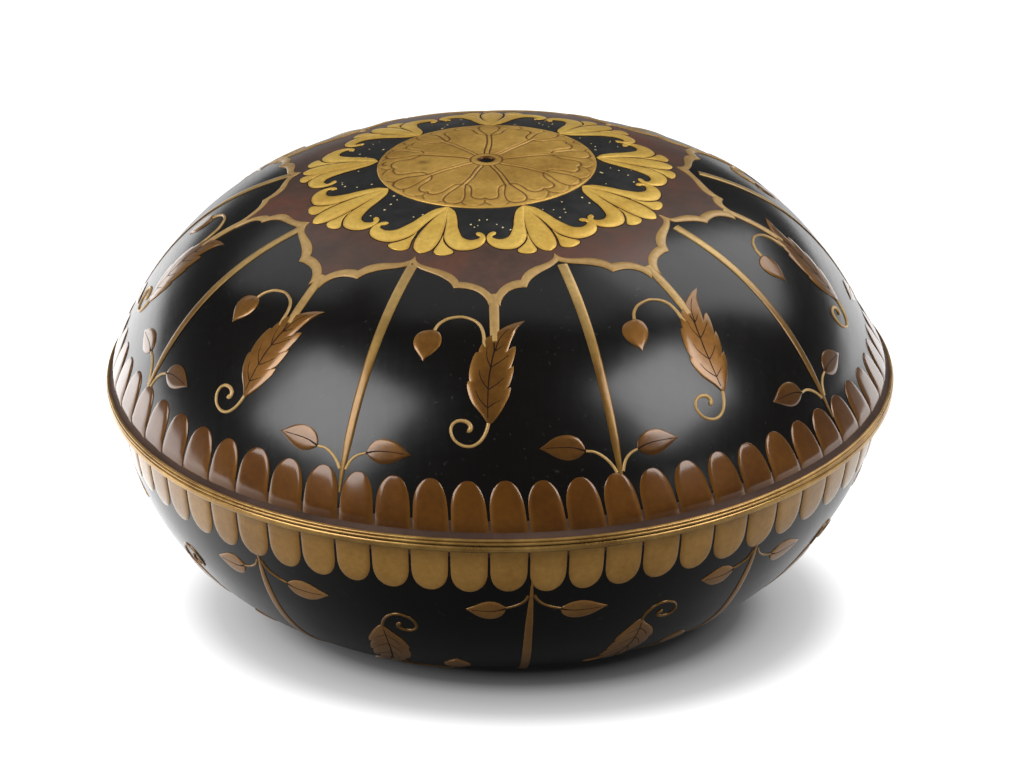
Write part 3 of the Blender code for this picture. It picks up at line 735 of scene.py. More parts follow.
def tongueParts(ground, settings, way):
    # Half width = straight half width * (1 - (1 - y / round) ** tipPower) ** (1 / tipRoot) for a distance y
    # from the tip, the straight width a little less towards the tip. The height rises from the tip as
    # tipLow + (1 - tipLow) * (1 - exp(-y / tipRise)) and falls over the last endFall
    parts = []
    numbers, turns = np.array(settings["gaps"]).T
    gaps = np.radians(np.interp(np.arange(numbers[0], numbers[-1]), numbers, turns))
    gaps += rng.uniform(-1, 1, len(gaps)) * tongues["sway"]
    gaps = np.append(gaps, gaps[0] + 2 * pi)
    for before, after in zip(gaps, gaps[1:]):
        tip = settings["tip"] + rng.uniform(-1, 1) * settings["uneven"]
        tip += np.interp((np.degrees(before) + 180) % 360 - 180, *np.array(settings["lower"]).T)
        length = abs(settings["end"] - tip)
        y = length * (1 - np.cos(np.linspace(0.0, pi / 2, tongues["rows"]))) ** 0.9
        y = np.unique(np.round(np.concatenate((tongues["firstRows"], y[2:])), 4))
        s = (tip + way * y) * mm
        r = np.interp(s, ground["s"], ground["r"])
        full = (r / mm) * (after - before) / 2 - settings["gap"] / 2 - settings["taper"] * (1 - y / length)
        fromRound = np.clip(1 - y / settings["round"], 0.0, 1.0)
        half = full * (1 - fromRound ** tongues["tipPower"]) ** (1 / tongues["tipRoot"])
        fade = tongues["tipLow"] + (1 - tongues["tipLow"]) * (1 - np.exp(-y / tongues["tipRise"]))
        fade = fade * np.clip((length - y) / tongues["endFall"] + tongues["endLow"], 0.0, 1.0)
        place = onPanel(ground, (before + after) / 2, 0.0)
        parts.append(band(place, np.stack((-half, s / mm), 1), np.stack((half, s / mm), 1),
                          height=settings["height"] * rng.uniform(*tongues["heights"]),
                          edge=settings["edge"], soft=1.2, power=9.0, across=12, sink=0.4, fade=fade))
    return parts


makePiece("lidTongues", tongueParts(lidGround, lidTongues, 1), goldTongue, sharp=50.0)
makePiece("bowlTongues", tongueParts(bowlGround, bowlTongues, -1), goldTongueWithPaintedLight, sharp=50.0)
print("tongues made")


# Medallion
spokes = [radians(-112.3 + 40 * k) for k in range(9)]
rosette = {
    "middle": (-1.9, -0.6), "radius": 33.6, "height": 0.50, "hole": 2.0, "holeDepth": 1.5, "hub": 4.9,
    "groove": 0.30, "grooveDepth": 0.27, "columns": 630, "rows": (6, 14, 72), "low": -0.35,
    "edgeSteps": (0.55, 0.42, 0.30, 0.20, 0.11, 0.04, 0.0, 0.0),
    "dropSwell": 0.10, "lipSwell": 0.10, "spokeSwell": 0.12, "hubSwell": 0.10, "pitWaver": 0.15,
    "pitSoft": 0.12,
}
# The drawing is by hand: where its nine spokes really stand, and two waves in x and two in y, each as
# size, how fast it goes along x and along y, and shift
drawnSpokes = [radians(a) for a in (-109.1, -72.8, -32.5, 10.1, 48.8, 87.6, 129.9, 161.8, 211.8)]
wavesX = ((0.22, 0.0, 0.23, 1.3), (0.12, 0.61, 0.33, 0.0))
wavesY = ((0.20, 0.27, 0.0, 0.4), (0.12, -0.4, 0.55, 0.0))
# Dark smudges: strength, place and the squares of their widths; the dark crescent by the edge: its
# circle's middle and radius, and half its width
smudges = ((0.525, -2.2, -0.3, 1.8, 1.8), (0.60, -19.4, -1.0, 3.6, 2.2), (0.32, -18.9, -6.0, 1.0, 3.0))
crescent = (-30.6, 1.4, 1.3, 0.35)
spokeLine = ((0.75, 4.9), (0.72, 20.3))
dropLine = ((0.5, 20.4), (1.5, 23.4), (2.6, 26.2), (3.1, 28.5), (2.9, 30.7), (1.8, 32.0), (0.0, 32.4))
lipLine = ((0.0, 28.1), (0.9, 28.8), (2.5, 28.75), (3.7, 28.1), (4.35, 26.8), (4.4, 23.9), (4.7, 21.6),
           (5.5, 20.2), (6.4, 19.7))
notchLine = ((0.0, 29.2), (0.1, 30.7), (1.9, 32.2), (4.0, 32.6), (6.3, 31.9), (8.1, 30.1))


def distanceTo(x, y, line):
    # Shortest distance from each point to a line of straight pieces
    line = np.asarray(line, float)
    best = np.full(x.shape, 1e9)
    for a, b in zip(line, line[1:]):
        run = b - a
        share = np.clip(((x - a[0]) * run[0] + (y - a[1]) * run[1]) / (run @ run), 0.0, 1.0)
        best = np.minimum(best, np.hypot(x - a[0] - share * run[0], y - a[1] - share * run[1]))
    return best


def waving(x, y, waves):
    # Sum of size * sin(alongX x + alongY y + shift)
    return sum(size * np.sin(alongX * x + alongY * y + shift) for size, alongX, alongY, shift in waves)


def drawnPlace(x, y, r):
    # Where a point of the disc lies in the even drawing of nine petals: its turn and its reach
    share = np.clip(r / 8.0, 0.0, 1.0) * np.clip((rosette["radius"] - r) / 3.0, 0.0, 1.0)
    x, y = x + waving(x, y, wavesX) * share, y + waving(x, y, wavesY) * share
    standing = [turn - drawnSpokes[0] for turn in drawnSpokes] + [2 * pi]
    angle = np.interp((np.arctan2(y, x) - drawnSpokes[0]) % (2 * pi), standing, np.arange(10) * 2 * pi / 9)
    return angle + spokes[0], np.hypot(x, y)


def wornAt(x, y):
    # How dark the smudges and the crescent are
    worn = sum(strength * np.exp(-((x - midX) ** 2 / wideX + (y - midY) ** 2 / wideY))
               for strength, midX, midY, wideX, wideY in smudges)
    midX, midY, radius, half = crescent
    rim = np.hypot(x - midX, y - midY) - radius
    return worn + np.exp(-(rim / half) ** 2) * (x < midX)


def medallionPart():
    # Height over a polar grid: a rounded disc, less a groove exp(-(distance / half width) ** 2) along each
    # line, with low swells beside the lines and, in the middle, a wavering pit
    # 1 / (1 + exp((reach - hole - waver * sin(3 turns)) / soft))
    columns, (pitRows, hubRows, petalRows) = rosette["columns"], rosette["rows"]
    radius = np.concatenate((np.linspace(0.25, rosette["hole"], pitRows),
                             np.linspace(rosette["hole"] + 0.12, 5.6, hubRows),
                             np.linspace(5.9, rosette["radius"] - 0.7, petalRows),
                             rosette["radius"] - np.array(rosette["edgeSteps"])))
    turn = np.arange(columns) * 2 * pi / columns
    r = np.repeat(radius[:, None], columns, 1)
    x, y = r * np.cos(turn), r * np.sin(turn)
    angle, reach = drawnPlace(x, y, r)
    step = 2 * pi / 9
    fromSpoke = (angle - spokes[0] + step / 2) % step - step / 2
    fromMiddle = (angle - spokes[0]) % step - step / 2
    sx, sy = np.abs(reach * np.sin(fromSpoke)), reach * np.cos(fromSpoke)
    mx, my = np.abs(reach * np.sin(fromMiddle)), reach * np.cos(fromMiddle)
    spoke = distanceTo(sx, sy, spokeLine)
    drop = distanceTo(sx, sy, smoothLine(dropLine, 24))
    lip = distanceTo(mx, my, smoothLine(lipLine, 24))
    notch = distanceTo(mx, my, np.concatenate((notchLine[:1], smoothLine(notchLine[1:], 14))))
    hub = np.abs(reach - rosette["hub"])
    half = rosette["groove"]
    strong = np.minimum(np.minimum(spoke, lip), np.minimum(hub, drop))
    groove = np.maximum(np.exp(-(strong / half) ** 2), 0.75 * np.exp(-(notch / half) ** 2))
    inDrop, alongSpoke = (sx < 3.1) * (sy > 20.5) * (sy < 32), (sy < 20.4) * (sy > 5.0)
    height = rosette["height"] - rosette["grooveDepth"] * groove
    height += rosette["dropSwell"] * np.clip(drop / 1.6, 0, 1) * inDrop
    height += rosette["lipSwell"] * np.exp(-((lip - 1.2) / 1.0) ** 2) * (reach > 20.0)
    height += rosette["spokeSwell"] * np.exp(-(sx / 0.55) ** 2) * alongSpoke
    height += rosette["hubSwell"] * np.exp(-((reach - 3.6) / 0.8) ** 2)
    edge = np.clip((rosette["radius"] - r) / 0.9, 0.0, 1.0)
    height = height * np.sqrt(1 - (1 - edge) ** 2)
    pitEdge = rosette["hole"] + rosette["pitWaver"] * np.sin(3 * angle)
    pit = 1 / (1 + np.exp((reach - pitEdge) / rosette["pitSoft"]))
    height = height * (1 - pit) - rosette["holeDepth"] * pit
    height[-1] = rosette["low"]
    line = np.clip(groove * 1.25 - 0.15, 0.0, 1.0) * (reach < 32.4)
    line = np.maximum(line, np.exp(-(np.maximum(reach - 2.4, 0.0) / 0.5) ** 2))
    values = np.clip(line + wornAt(x, y), 0.0, 1.0).reshape(-1)
    midX, midY = rosette["middle"]
    points = onPlan(x + midX, y + midY, height).reshape(-1, 3)
    faces = ringFaces(len(radius), columns, False).tolist()
    for row, lift in ((0, -rosette["holeDepth"]), (len(radius) - 1, rosette["low"])):
        pole = len(points)
        points = np.concatenate((points, onPlan(np.array([midX]), np.array([midY]), lift)))
        values = np.append(values, 1.0)
        faces += [[row * columns + j, row * columns + (j + 1) % columns, pole] for j in range(columns)]
    return (points, faces, np.zeros(len(points))), values


part, lineValues = medallionPart()
makePiece("medallion", [part], goldMedallion, sharp=70.0, extra={"line": lineValues})


# Palmettes: a middle petal, two side petals and two curling outer petals each. A row holds the left and
# the right point of a petal, across and out from the medallion's middle
voluteRows = (
    (0.25, 34.0, 0.15, 34.6), (1.6, 34.8, 0.55, 36.2), (2.9, 35.8, 1.10, 38.0), (4.1, 37.6, 1.75, 39.8),
    (5.1, 39.6, 2.40, 41.5), (5.9, 41.3, 2.90, 43.2), (6.6, 43.1, 3.40, 45.0), (7.6, 44.8, 3.85, 47.0),
    (8.6, 46.3, 4.45, 49.0), (9.6, 47.6, 5.65, 51.0), (10.6, 48.3, 7.55, 52.8), (11.9, 48.65, 10.0, 53.95),
    (13.1, 48.55, 12.9, 53.6), (14.1, 48.05, 15.2, 52.4), (14.9, 47.3, 16.75, 50.6),
    (15.1, 46.55, 17.3, 48.7), (14.6, 46.15, 17.1, 47.0), (13.9, 46.0, 16.5, 45.7),
    (13.4, 45.5, 15.6, 44.75), (13.25, 45.0, 14.5, 44.35), (13.55, 44.6, 13.75, 44.5),
)
sidePetalRows = (
    (3.95, 48.5, 4.15, 48.7), (4.05, 50.0, 4.85, 50.75), (4.1, 51.5, 6.1, 52.35), (4.05, 53.0, 7.9, 53.75),
    (3.9, 54.4, 9.4, 54.6), (3.75, 55.4, 9.85, 55.3), (3.9, 56.4, 9.4, 56.2), (4.5, 57.0, 8.4, 56.9),
    (5.4, 57.35, 7.2, 57.3), (6.1, 57.45, 6.4, 57.45),
)
middlePetal = ((0.15, 34.0), (0.6, 36.2), (1.25, 38.3), (2.05, 41.2), (2.75, 44.4), (3.25, 47.5), (3.5, 50.0),
               (3.45, 52.5), (3.1, 54.6), (2.45, 56.1), (1.55, 57.0), (0.6, 57.5), (0.1, 57.65))
palmette = {"height": 0.50, "sideHeight": 0.42, "edge": 0.20, "line": 0.30, "lineHeight": 0.13,
            "lineEdge": 0.12}
# Each palmette's turn, how far its left and right halves spread and how much longer its middle petal is
palmettesDrawn = (
    (-110.0, 1.10, 0.96, 0.0), (-71.9, 0.92, 1.02, 0.0), (-32.8, 0.97, 1.0, 1.7), (6.8, 1.0, 1.02, 0.0),
    (47.0, 1.0, 1.0, 0.0), (87.9, 1.02, 0.98, 0.0), (128.5, 1.0, 1.01, 0.0), (170.3, 1.0, 0.86, 0.0),
    (-151.0, 0.98, 0.95, 1.7),
)


def widened(left, right, more):
    # Both sides moved apart along the line that joins them, and never less than a hair where they meet
    across = right - left
    across /= np.maximum(np.hypot(*across.T), 0.05)[:, None]
    return left - across * more, right + across * more


def palmetteParts(turn, leftSpread, rightSpread, longer):
    # A side is drawn once; its x is scaled by the spread, which is negative for the left. Under each petal
    # lies a dark plate that is a line's width wider on both sides
    made, lines = [], []
    spoke = radians(turn)

    def add(rows, side, count, height, power):
        rows = smoothLine(rows, count)
        left = turnedPlan(rows[:, :2] * (side, 1.0), spoke, rosette["middle"])
        right = turnedPlan(rows[:, 2:] * (side, 1.0), spoke, rosette["middle"])
        made.append(band(onPlan, left, right, height=height, edge=palmette["edge"], soft=1.6, power=power,
                         across=10, sink=0.4))
        lines.append(band(onPlan, *widened(left, right, palmette["line"]), height=palmette["lineHeight"],
                          edge=palmette["lineEdge"], across=2, sink=0.3))

    for side in (-leftSpread, rightSpread):
        add(voluteRows, side, 72, palmette["height"], 2.6)
        add(sidePetalRows, side, 26, palmette["sideHeight"], 3.0)
    x, y = np.asarray(middlePetal).T
    y = y + longer * ((y - y[0]) / (y[-1] - y[0])) ** 2
    add(np.stack((-x, y, x, y), 1), 1.0, 40, palmette["height"], 2.6)
    return made, lines


palmetteGold, palmetteLines = [], []
for drawn in palmettesDrawn:
    made, lines = palmetteParts(*drawn)
    palmetteGold += made
    palmetteLines += lines
makePiece("palmettes", palmetteGold, goldBright, sharp=50.0)
makePiece("palmetteLines", palmetteLines, lineBrown)


# Frame round the palmettes: red side and black side of half a panel, from its peak to the cusp and from
# there to the joint, where a stem hangs
peakRows = (
    (0.0, 59.6, 0.0, 63.2), (0.6, 61.0, 0.75, 63.7), (1.6, 62.0, 2.0, 64.4), (3.4, 62.85, 3.75, 65.1),
    (5.6, 63.3, 5.75, 65.7), (8.1, 63.65, 7.75, 66.3), (10.6, 64.25, 9.75, 67.1), (12.5, 65.1, 11.5, 67.95),
    (13.9, 66.15, 12.9, 69.0), (14.8, 67.15, 14.1, 70.35),
)
cuspRows = (
    (14.8, 67.15, 14.1, 70.35), (16.25, 66.9, 15.3, 69.95), (18.1, 66.85, 17.3, 69.65),
    (20.25, 67.15, 19.3, 69.65), (22.25, 67.85, 21.2, 70.2), (23.9, 68.85, 22.8, 71.2),
    (25.0, 69.7, 24.0, 72.4), (25.6, 70.3, 24.75, 73.7),
)
collar = {"middle": (-2.4, 0.0), "height": 0.50, "edge": 0.20, "halfPanel": 20.0, "joint": 74.8,
          "cuspDeeper": 0.6, "stemInset": 1.2, "stemWidth": (2.6, 2.8, 2.7, 2.5)}
# Where the hand-drawn peaks and joints stand round the frame's own middle
peaks = (-110.1, -70.9, -30.5, 7.2, 49.5, 89.6, 129.6, 169.3, 208.2)
joints = (-88.5, -50.8, -12.8, 28.6, 69.4, 109.7, 149.6, 190.0, 229.9)
# Half panels drawn differently: how early the cusp comes, how far the band bows out, its width and the
# peak's shift
halfWays = {(0, 1): (1.0, 0.0, 0.78), (2, 1): (1.5, 0.0, 1.0), (3, -1): (0.6, 1.1, 1.0),
            (7, -1): (1.0, -1.2, 1.0, -1.3), (7, 1): (0.8, -2.4, 0.76, -1.3), (8, -1): (0.62, -1.5, 1.0),
            (8, 1): (1.0, 0.4, 1.0)}


def aroundCollar(rows, fromTurn, toTurn, early=1.0, bow=0.0, width=1.0, dip=0.0):
    # Rows drawn over half a panel, spread between two turns of the frame's middle: share of the turn to
    # the power early, reach plus bow * sin(pi * share) + dip * (1 - share) ** 2
    turned = []
    black = rows[:, :2] + (rows[:, 2:] - rows[:, :2]) * width
    for x, y in ((rows[:, 0], rows[:, 1]), (black[:, 0], black[:, 1])):
        share = np.clip(np.degrees(np.arctan2(x, y)) / collar["halfPanel"], 0.0, None)
        reach = np.hypot(x, y) + bow * np.sin(pi * np.clip(share, 0.0, 1.0))
        reach += dip * np.clip(1 - share, 0.0, 1.0) ** 2
        angle = np.radians(fromTurn + (toTurn - fromTurn) * share ** early)
        turned += [collar["middle"][0] + reach * np.cos(angle), collar["middle"][1] + reach * np.sin(angle)]
    return np.stack(turned, 1)


def collarPoint(reach, turn):
    # A place at a reach and a turn from the frame's middle
    return np.array(collar["middle"]) + reach * np.array((cos(turn), sin(turn)))


def collarRows():
    # The whole frame as rows of (red side, black side) in the lid's plan, once round
    half = np.concatenate((smoothLine(peakRows, 22), smoothLine(cuspRows, 16)[1:]))
    rows = []
    for k in range(9):
        before = joints[k - 1] - (360.0 if k == 0 else 0.0)
        rows.append(aroundCollar(half, peaks[k], before, *halfWays.get((k, -1), ()))[:0:-1])
        rows.append(aroundCollar(half, peaks[k], joints[k], *halfWays.get((k, 1), ())))
        deep = collarPoint(collar["joint"] + collar["cuspDeeper"], radians(joints[k]))
        rows.append(np.concatenate((rows[-1][-1:, :2], deep[None, :]), 1))
    return np.concatenate(rows)


frameLoop = collarRows()
frameBands = [band(onPlan, frameLoop[:, :2], frameLoop[:, 2:], height=collar["height"],
                   edge=collar["edge"], soft=0.8, power=2.6, across=8, sink=0.4, closed=True)]


# Red-brown field from under the palmettes to the frame's middle line, and a dusty black one from the
# medallion to where the red begins; a field without "far" ends at the frame
fields = {"red": {"near": 51.2, "top": 0.07}, "dusty": {"near": 32.5, "far": 51.8, "top": 0.05},
          "turns": 720, "rows": 12, "sink": 0.5}


def fieldPart(near, top, far=None):
    # Rows at each turn from the near circle out to the far one or to the frame's middle line
    outer = (frameLoop[:, :2] + frameLoop[:, 2:]) / 2 - np.asarray(rosette["middle"])
    turns = np.arctan2(outer[:, 1], outer[:, 0])
    order = np.argsort(turns)
    turn = np.linspace(-pi, pi, fields["turns"] + 1)[:-1]
    end = np.interp(turn, turns[order], np.hypot(*outer.T)[order], period=2 * pi)
    if far is not None:
        end = np.full(len(turn), far)
    r = near + (end[:, None] - near) * np.linspace(0.0, 1.0, fields["rows"])
    lift = np.concatenate((np.full(r.shape, top), np.full((len(turn), 2), -fields["sink"])), 1)
    r = np.concatenate((r, r[:, -1:], r[:, :1]), 1)
    x = rosette["middle"][0] + r * np.cos(turn)[:, None]
    y = rosette["middle"][1] + r * np.sin(turn)[:, None]
    points = onPlan(x, y, lift).reshape(-1, 3)
    return points, ringFaces(len(turn), r.shape[1], True).tolist(), np.zeros(len(points))


makePiece("redField", [fieldPart(**fields["red"])], lacquerRed)
makePiece("dustyField", [fieldPart(**fields["dusty"])], lacquerDusty)
print("medallion, palmettes and field made")


# Hanging sprigs, in millimetres from the stem's middle and the leaf's top; tendrils, berry and veins
leafRight = (
    ((1.15, -2.0), (2.65, -3.25), (4.15, -4.0), (5.65, -4.55), (8.3, -5.15)),
    ((8.3, -5.15), (7.15, -3.9), (6.15, -2.5), (5.3, -0.6), (4.75, 0.9), (4.25, 2.6), (3.65, 4.6)),
    ((3.65, 4.6), (4.4, 3.8), (5.15, 3.3), (5.95, 3.15)),
    ((5.95, 3.15), (5.9, 4.6), (5.55, 6.6), (5.1, 8.3), (4.6, 9.9)),
    ((4.6, 9.9), (5.1, 9.4), (5.45, 9.2)),
    ((5.45, 9.2), (5.4, 10.6), (5.15, 12.0), (4.75, 13.6), (4.25, 15.0), (3.6, 16.0)),
    ((3.6, 16.0), (4.2, 15.7), (4.7, 15.65)),
    ((4.7, 15.65), (4.5, 17.2), (4.15, 18.5), (3.4, 20.0), (2.4, 22.0), (1.15, 24.0), (-0.1, 25.6),
     (-1.35, 26.7)),
)
leafLeft = (
    ((-2.45, 0.35), (-3.35, 1.75), (-3.85, 2.75), (-4.35, 4.0), (-4.6, 5.7)),
    ((-4.6, 5.7), (-4.95, 5.2), (-5.25, 4.9)),
    ((-5.25, 4.9), (-5.65, 5.6), (-6.1, 6.75), (-6.6, 8.5), (-6.95, 10.5), (-7.0, 12.5), (-6.75, 14.6)),
    ((-6.75, 14.6), (-7.0, 14.1), (-7.25, 13.8)),
    ((-7.25, 13.8), (-7.55, 14.6), (-7.45, 16.0), (-6.95, 18.0), (-6.1, 20.0), (-4.85, 21.8), (-3.35, 23.6),
     (-2.35, 25.1), (-1.40, 26.7)),
)
midrib = ((-0.6, -0.6), (-0.2, 2.0), (-0.1, 4.5), (-0.6, 7.0), (-0.95, 9.5), (-1.35, 12.0), (-1.6, 16.0),
          (-1.7, 19.0), (-1.7, 21.5), (-1.65, 24.5), (-1.38, 26.7))
veins = (
    ((0.15, 4.7), (1.15, 1.25), (2.15, -0.5), (3.9, -2.5)),
    ((0.2, 4.6), (1.3, 3.8), (2.5, 2.75)),
    ((-0.9, 9.6), (1.15, 8.25), (3.9, 6.1)),
    ((-1.4, 16.2), (0.4, 15.0), (2.65, 13.0)),
    ((-1.65, 21.6), (-0.1, 20.5), (1.65, 19.5)),
    ((-1.0, 9.6), (-1.85, 7.5), (-2.2, 5.5), (-2.1, 3.4)),
    ((-1.55, 16.2), (-2.85, 14.5), (-3.85, 12.5), (-4.25, 10.5)),
    ((-1.7, 21.7), (-3.1, 20.25), (-4.35, 18.5), (-5.1, 16.5)),
)
berryRight = ((-17.1, -1.9), (-16.1, -1.4), (-15.25, -0.25), (-15.05, 1.25), (-15.45, 3.0), (-16.6, 4.75),
              (-18.1, 6.25), (-19.35, 7.25), (-20.2, 8.3))
berryLeft = ((-17.2, -1.9), (-18.6, -1.75), (-20.35, -1.25), (-21.85, -0.25), (-22.85, 1.25), (-23.1, 3.0),
             (-22.75, 4.5), (-21.85, 6.0), (-20.95, 7.2), (-20.25, 8.3))
berryTendril = ((-2.6, 3.2), (-2.95, 1.75), (-3.05, 0.0), (-3.35, -1.75), (-4.1, -3.75), (-5.35, -5.25),
                (-7.1, -6.25), (-9.35, -6.85), (-11.35, -6.6), (-13.35, -6.0), (-14.85, -5.0), (-16.1, -3.75),
                (-17.2, -1.7))
tipTendril = ((-1.45, 26.0), (-1.7, 27.25), (-2.1, 28.5), (-2.85, 30.0), (-4.1, 31.5), (-5.85, 32.5),
              (-7.6, 32.65), (-9.35, 32.1), (-10.85, 31.0), (-11.7, 29.5), (-11.95, 28.0), (-11.45, 26.5),
              (-10.35, 25.6), (-8.85, 25.35), (-7.35, 25.75), (-6.45, 26.75), (-6.4, 27.6), (-6.8, 28.15),
              (-7.3, 28.0))
sprig = {"leafHeight": 0.42, "leafPower": 7.0, "berryHeight": 0.46, "berryPower": 5.0, "edge": 0.16,
         "tendril": 0.95, "tendrilHeight": 0.5, "tendrilEdge": 0.12,
         "midrib": (0.66, 0.60, 0.40), "vein": (0.60, 0.32), "veinLift": 0.05}


def plate(place, left, right, middle, height, edge, power, across=12, soft=1.5):
    # A leaf or berry between two sides that meet in points
    left, right, middle = matched(left, right, middle)
    return band(place, left, right, middle, height=height, edge=edge, soft=soft, power=power, across=across)


def sprigParts(place, deeper=0.0):
    # The berry's tendril can hang deeper, by deeper * sin(pi * share of its points)
    height, thick = sprig["leafHeight"], sprig["tendril"]
    leaf = plate(place, smoothSide(leafLeft, 0.55), smoothSide(leafRight, 0.55), smoothLine(midrib, 40),
                 height, sprig["edge"], sprig["leafPower"])
    left, right = smoothSide((berryLeft,), 0.6), smoothSide((berryRight,), 0.6)
    berry = plate(place, left, right, (left[[0, -1]] + right[[0, -1]]) / 2, sprig["berryHeight"],
                  sprig["edge"], sprig["berryPower"])
    hanging = np.array(berryTendril)
    hanging[:, 1] -= deeper * np.sin(pi * np.linspace(0.0, 1.0, len(hanging)))
    tendrils = [stroke(place, line, thick * np.array(widths), sprig["tendrilHeight"], sprig["tendrilEdge"],
                       spacing=spacing)
                for line, widths, spacing in ((hanging, (1.2, 0.9, 1.0), 0.6),
                                              (tipTendril, (1.15, 1.0, 0.9, 1.0, 1.5), 0.45))]
    top = height + sprig["veinLift"]
    lines = [stroke(place, midrib[1:-1], sprig["midrib"], top, height - 0.02, across=2, sink=-0.2)]
    lines += [stroke(place, vein, sprig["vein"], top, height - 0.03, across=2, sink=-0.1, spacing=0.9)
              for vein in veins]
    return [leaf, berry], tendrils, lines


# Pairs of small leaves: how far the upper side, the underside, the middle and its dark line stand off the
# straight line from base to tip, as (share along, millimetres)
pairAbove = ((0.0, 0.05), (0.05, 2.0), (0.15, 3.45), (0.28, 4.2), (0.45, 4.3), (0.6, 3.8), (0.76, 2.6),
             (0.88, 1.3), (1.0, 0.05))
pairBelow = ((0.0, -0.05), (0.10, -1.3), (0.24, -2.4), (0.4, -2.85), (0.55, -2.6), (0.72, -1.75),
             (0.86, -0.85), (1.0, -0.05))
pairMiddle = ((0.0, 0.0), (0.25, 0.75), (0.5, 0.75), (0.7, 0.5), (1.0, 0.0))
pairRib = ((0.0, 0.0), (0.25, 0.75), (0.5, 0.75), (0.7, 0.5), (0.86, 0.25))
smallLeaf = {"height": 0.36, "edge": 0.15, "power": 7.0, "stalk": (0.95, 0.75), "stalkHeight": 0.42,
             "stalkEdge": 0.10, "rib": (0.50, 0.42, 0.22), "ribHeight": 0.42, "ribEdge": 0.34}


def pairParts(place, rows, flip=1.0):
    # rows holds, for each side, the stalk's points, the last of which is the leaf's base, and the leaf's tip
    leaves, stalks, lines = [], [], []
    for stalk, tip in rows:
        base = np.asarray(stalk[-1], float)
        axis = np.asarray(tip, float) - base
        length = np.hypot(*axis)
        axis = axis / length
        up = np.array((axis[1], -axis[0])) * np.sign(axis[0]) * flip
        above, below, middle, rib = (
            base + np.array(drawn)[:, :1] * length * axis + np.array(drawn)[:, 1:] * up
            for drawn in (pairAbove, pairBelow, pairMiddle, pairRib))
        leaves.append(plate(place, smoothLine(above, 24), smoothLine(below, 22), smoothLine(middle, 22),
                            smallLeaf["height"], smallLeaf["edge"], smallLeaf["power"]))
        stalks.append(stroke(place, stalk, smallLeaf["stalk"], smallLeaf["stalkHeight"],
                             smallLeaf["stalkEdge"]))
        lines.append(stroke(place, rib, smallLeaf["rib"], smallLeaf["ribHeight"], smallLeaf["ribEdge"],
                            across=2, sink=-0.1))
    return leaves, stalks, lines


def hung(rows, shifts):
    # A pair's rows with the stalk drawn out and the leaf moved along by its shift
    made = []
    for (stalk, tip), shift in zip(rows, shifts):
        stalk = np.array(stalk)
        stalk[:, 1] += shift * np.linspace(0.0, 1.0, len(stalk))
        made.append((stalk, (tip[0], tip[1] + shift)))
    return made


lidPairRows = (
    (((-0.9, 0.9), (-1.7, -0.7), (-2.9, -2.4), (-4.6, -4.0), (-6.6, -5.1), (-8.8, -5.4)), (-21.6, -7.1)),
    (((0.9, 0.8), (1.5, -0.9), (2.5, -2.6), (4.1, -3.9), (6.1, -4.6)), (19.0, -5.4)),
)
bowlPairRows = (
    (((-0.8, -0.2), (-1.5, 1.6), (-3.1, 3.2), (-4.9, 4.1), (-6.9, 4.7)), (-18.2, 5.2)),
    (((0.8, -0.3), (1.6, 1.4), (3.2, 3.2), (5.8, 4.8), (8.6, 5.8)), (22.3, 6.7)),
)

# Where the hand-drawn panels differ: the stem's place across, the leaf's place along and the sprig's lean
lidPanels = ((3.1, 0.2, 0.0), (0.7, 1.5, -1.0), (1.4, 1.3, 0.6), (-0.4, 0.8, 0.3), (0.8, 1.2, -0.4),
             (0.2, 0.4, 0.0), (-0.6, 1.6, 0.4), (1.3, 2.2, 0.0), (2.2, 3.5, -1.0))
# How much lower the left and the right leaf of a rib hang
lidPairShifts = {0: (1.1, 0.0), 1: (-0.7, 0.0), 2: (1.6, 0.0), 8: (-1.3, -1.3)}
# Turns of the lid's ribs at the frame, half way down and at the tongues
lidRibTurns = ((-111.6, -112.1, -112.4), (-72.4, -72.7, -72.8), (-33.1, -33.3, -33.4), (6.6, 6.3, 7.2),
               (48.4, 48.0, 48.3), (88.6, 88.9, 88.4), (129.2, 129.0, 129.6), (169.6, 170.8, 171.2),
               (207.9, 205.7, 205.5))
# Places along are arc lengths, on the lid from the pole and on the bowl from the seam
ribs = {"lidTop": 65.0, "lidEnd": 139.0, "lidWidth": (3.0, 3.0, 2.8, 2.6, 2.4, 0.6), "lidHeight": 0.34,
        "lidPair": 131.6, "lidLeaf": 90.0, "edge": 0.16,
        "bowlTop": 11.6, "bowlEnd": 100.0, "bowlWidth": (0.3, 2.1, 2.6, 2.5, 2.5, 2.4), "bowlHeight": 0.36,
        "bowlPair": 18.9, "bowlTurns": (-126.7, -86.1, -51.3, -12.0, 28.0, 68.0, 108.0, 148.0, 190.0)}
# The bowl's sprigs stand upside down: their place across, where the leaf's tip is and the stem below
bowlSprigs = {"across": (4.4, 1.4, 1.4, 1.0, 1.8, 1.2, 1.6, 1.4, 1.4),
              "leafTip": (34.6, 35.4, 36.9, 36.2, 35.6, 36.4, 36.0, 35.8, 36.2), "leafLength": 26.7,
              "deeper": 6.0, "stem": ((1.0, 1.0), (0.7, -14.0), (0.3, -36.0)), "stemWidth": (2.1, 2.3, 2.3)}


def leaned(place, shift, lean):
    # A drawing moved across by shift, and by lean over every 30 mm along
    return lambda x, y, lift: place(x + shift + lean * (y - 10.0) / 30.0, y, lift)


def ribPart(place, line, width, height):
    # A long, low rib with a flat top
    return stroke(place, line, width, height, ribs["edge"], across=6, power=5.0, spacing=1.6, soft=0.9)


def addTo(half, leaves, tendrils, lines):
    # Puts one drawing's plates, tendrils and dark lines to those of its half of the box
    half["leaves"] += leaves
    half["tendrils"] += tendrils
    half["lines"] += lines


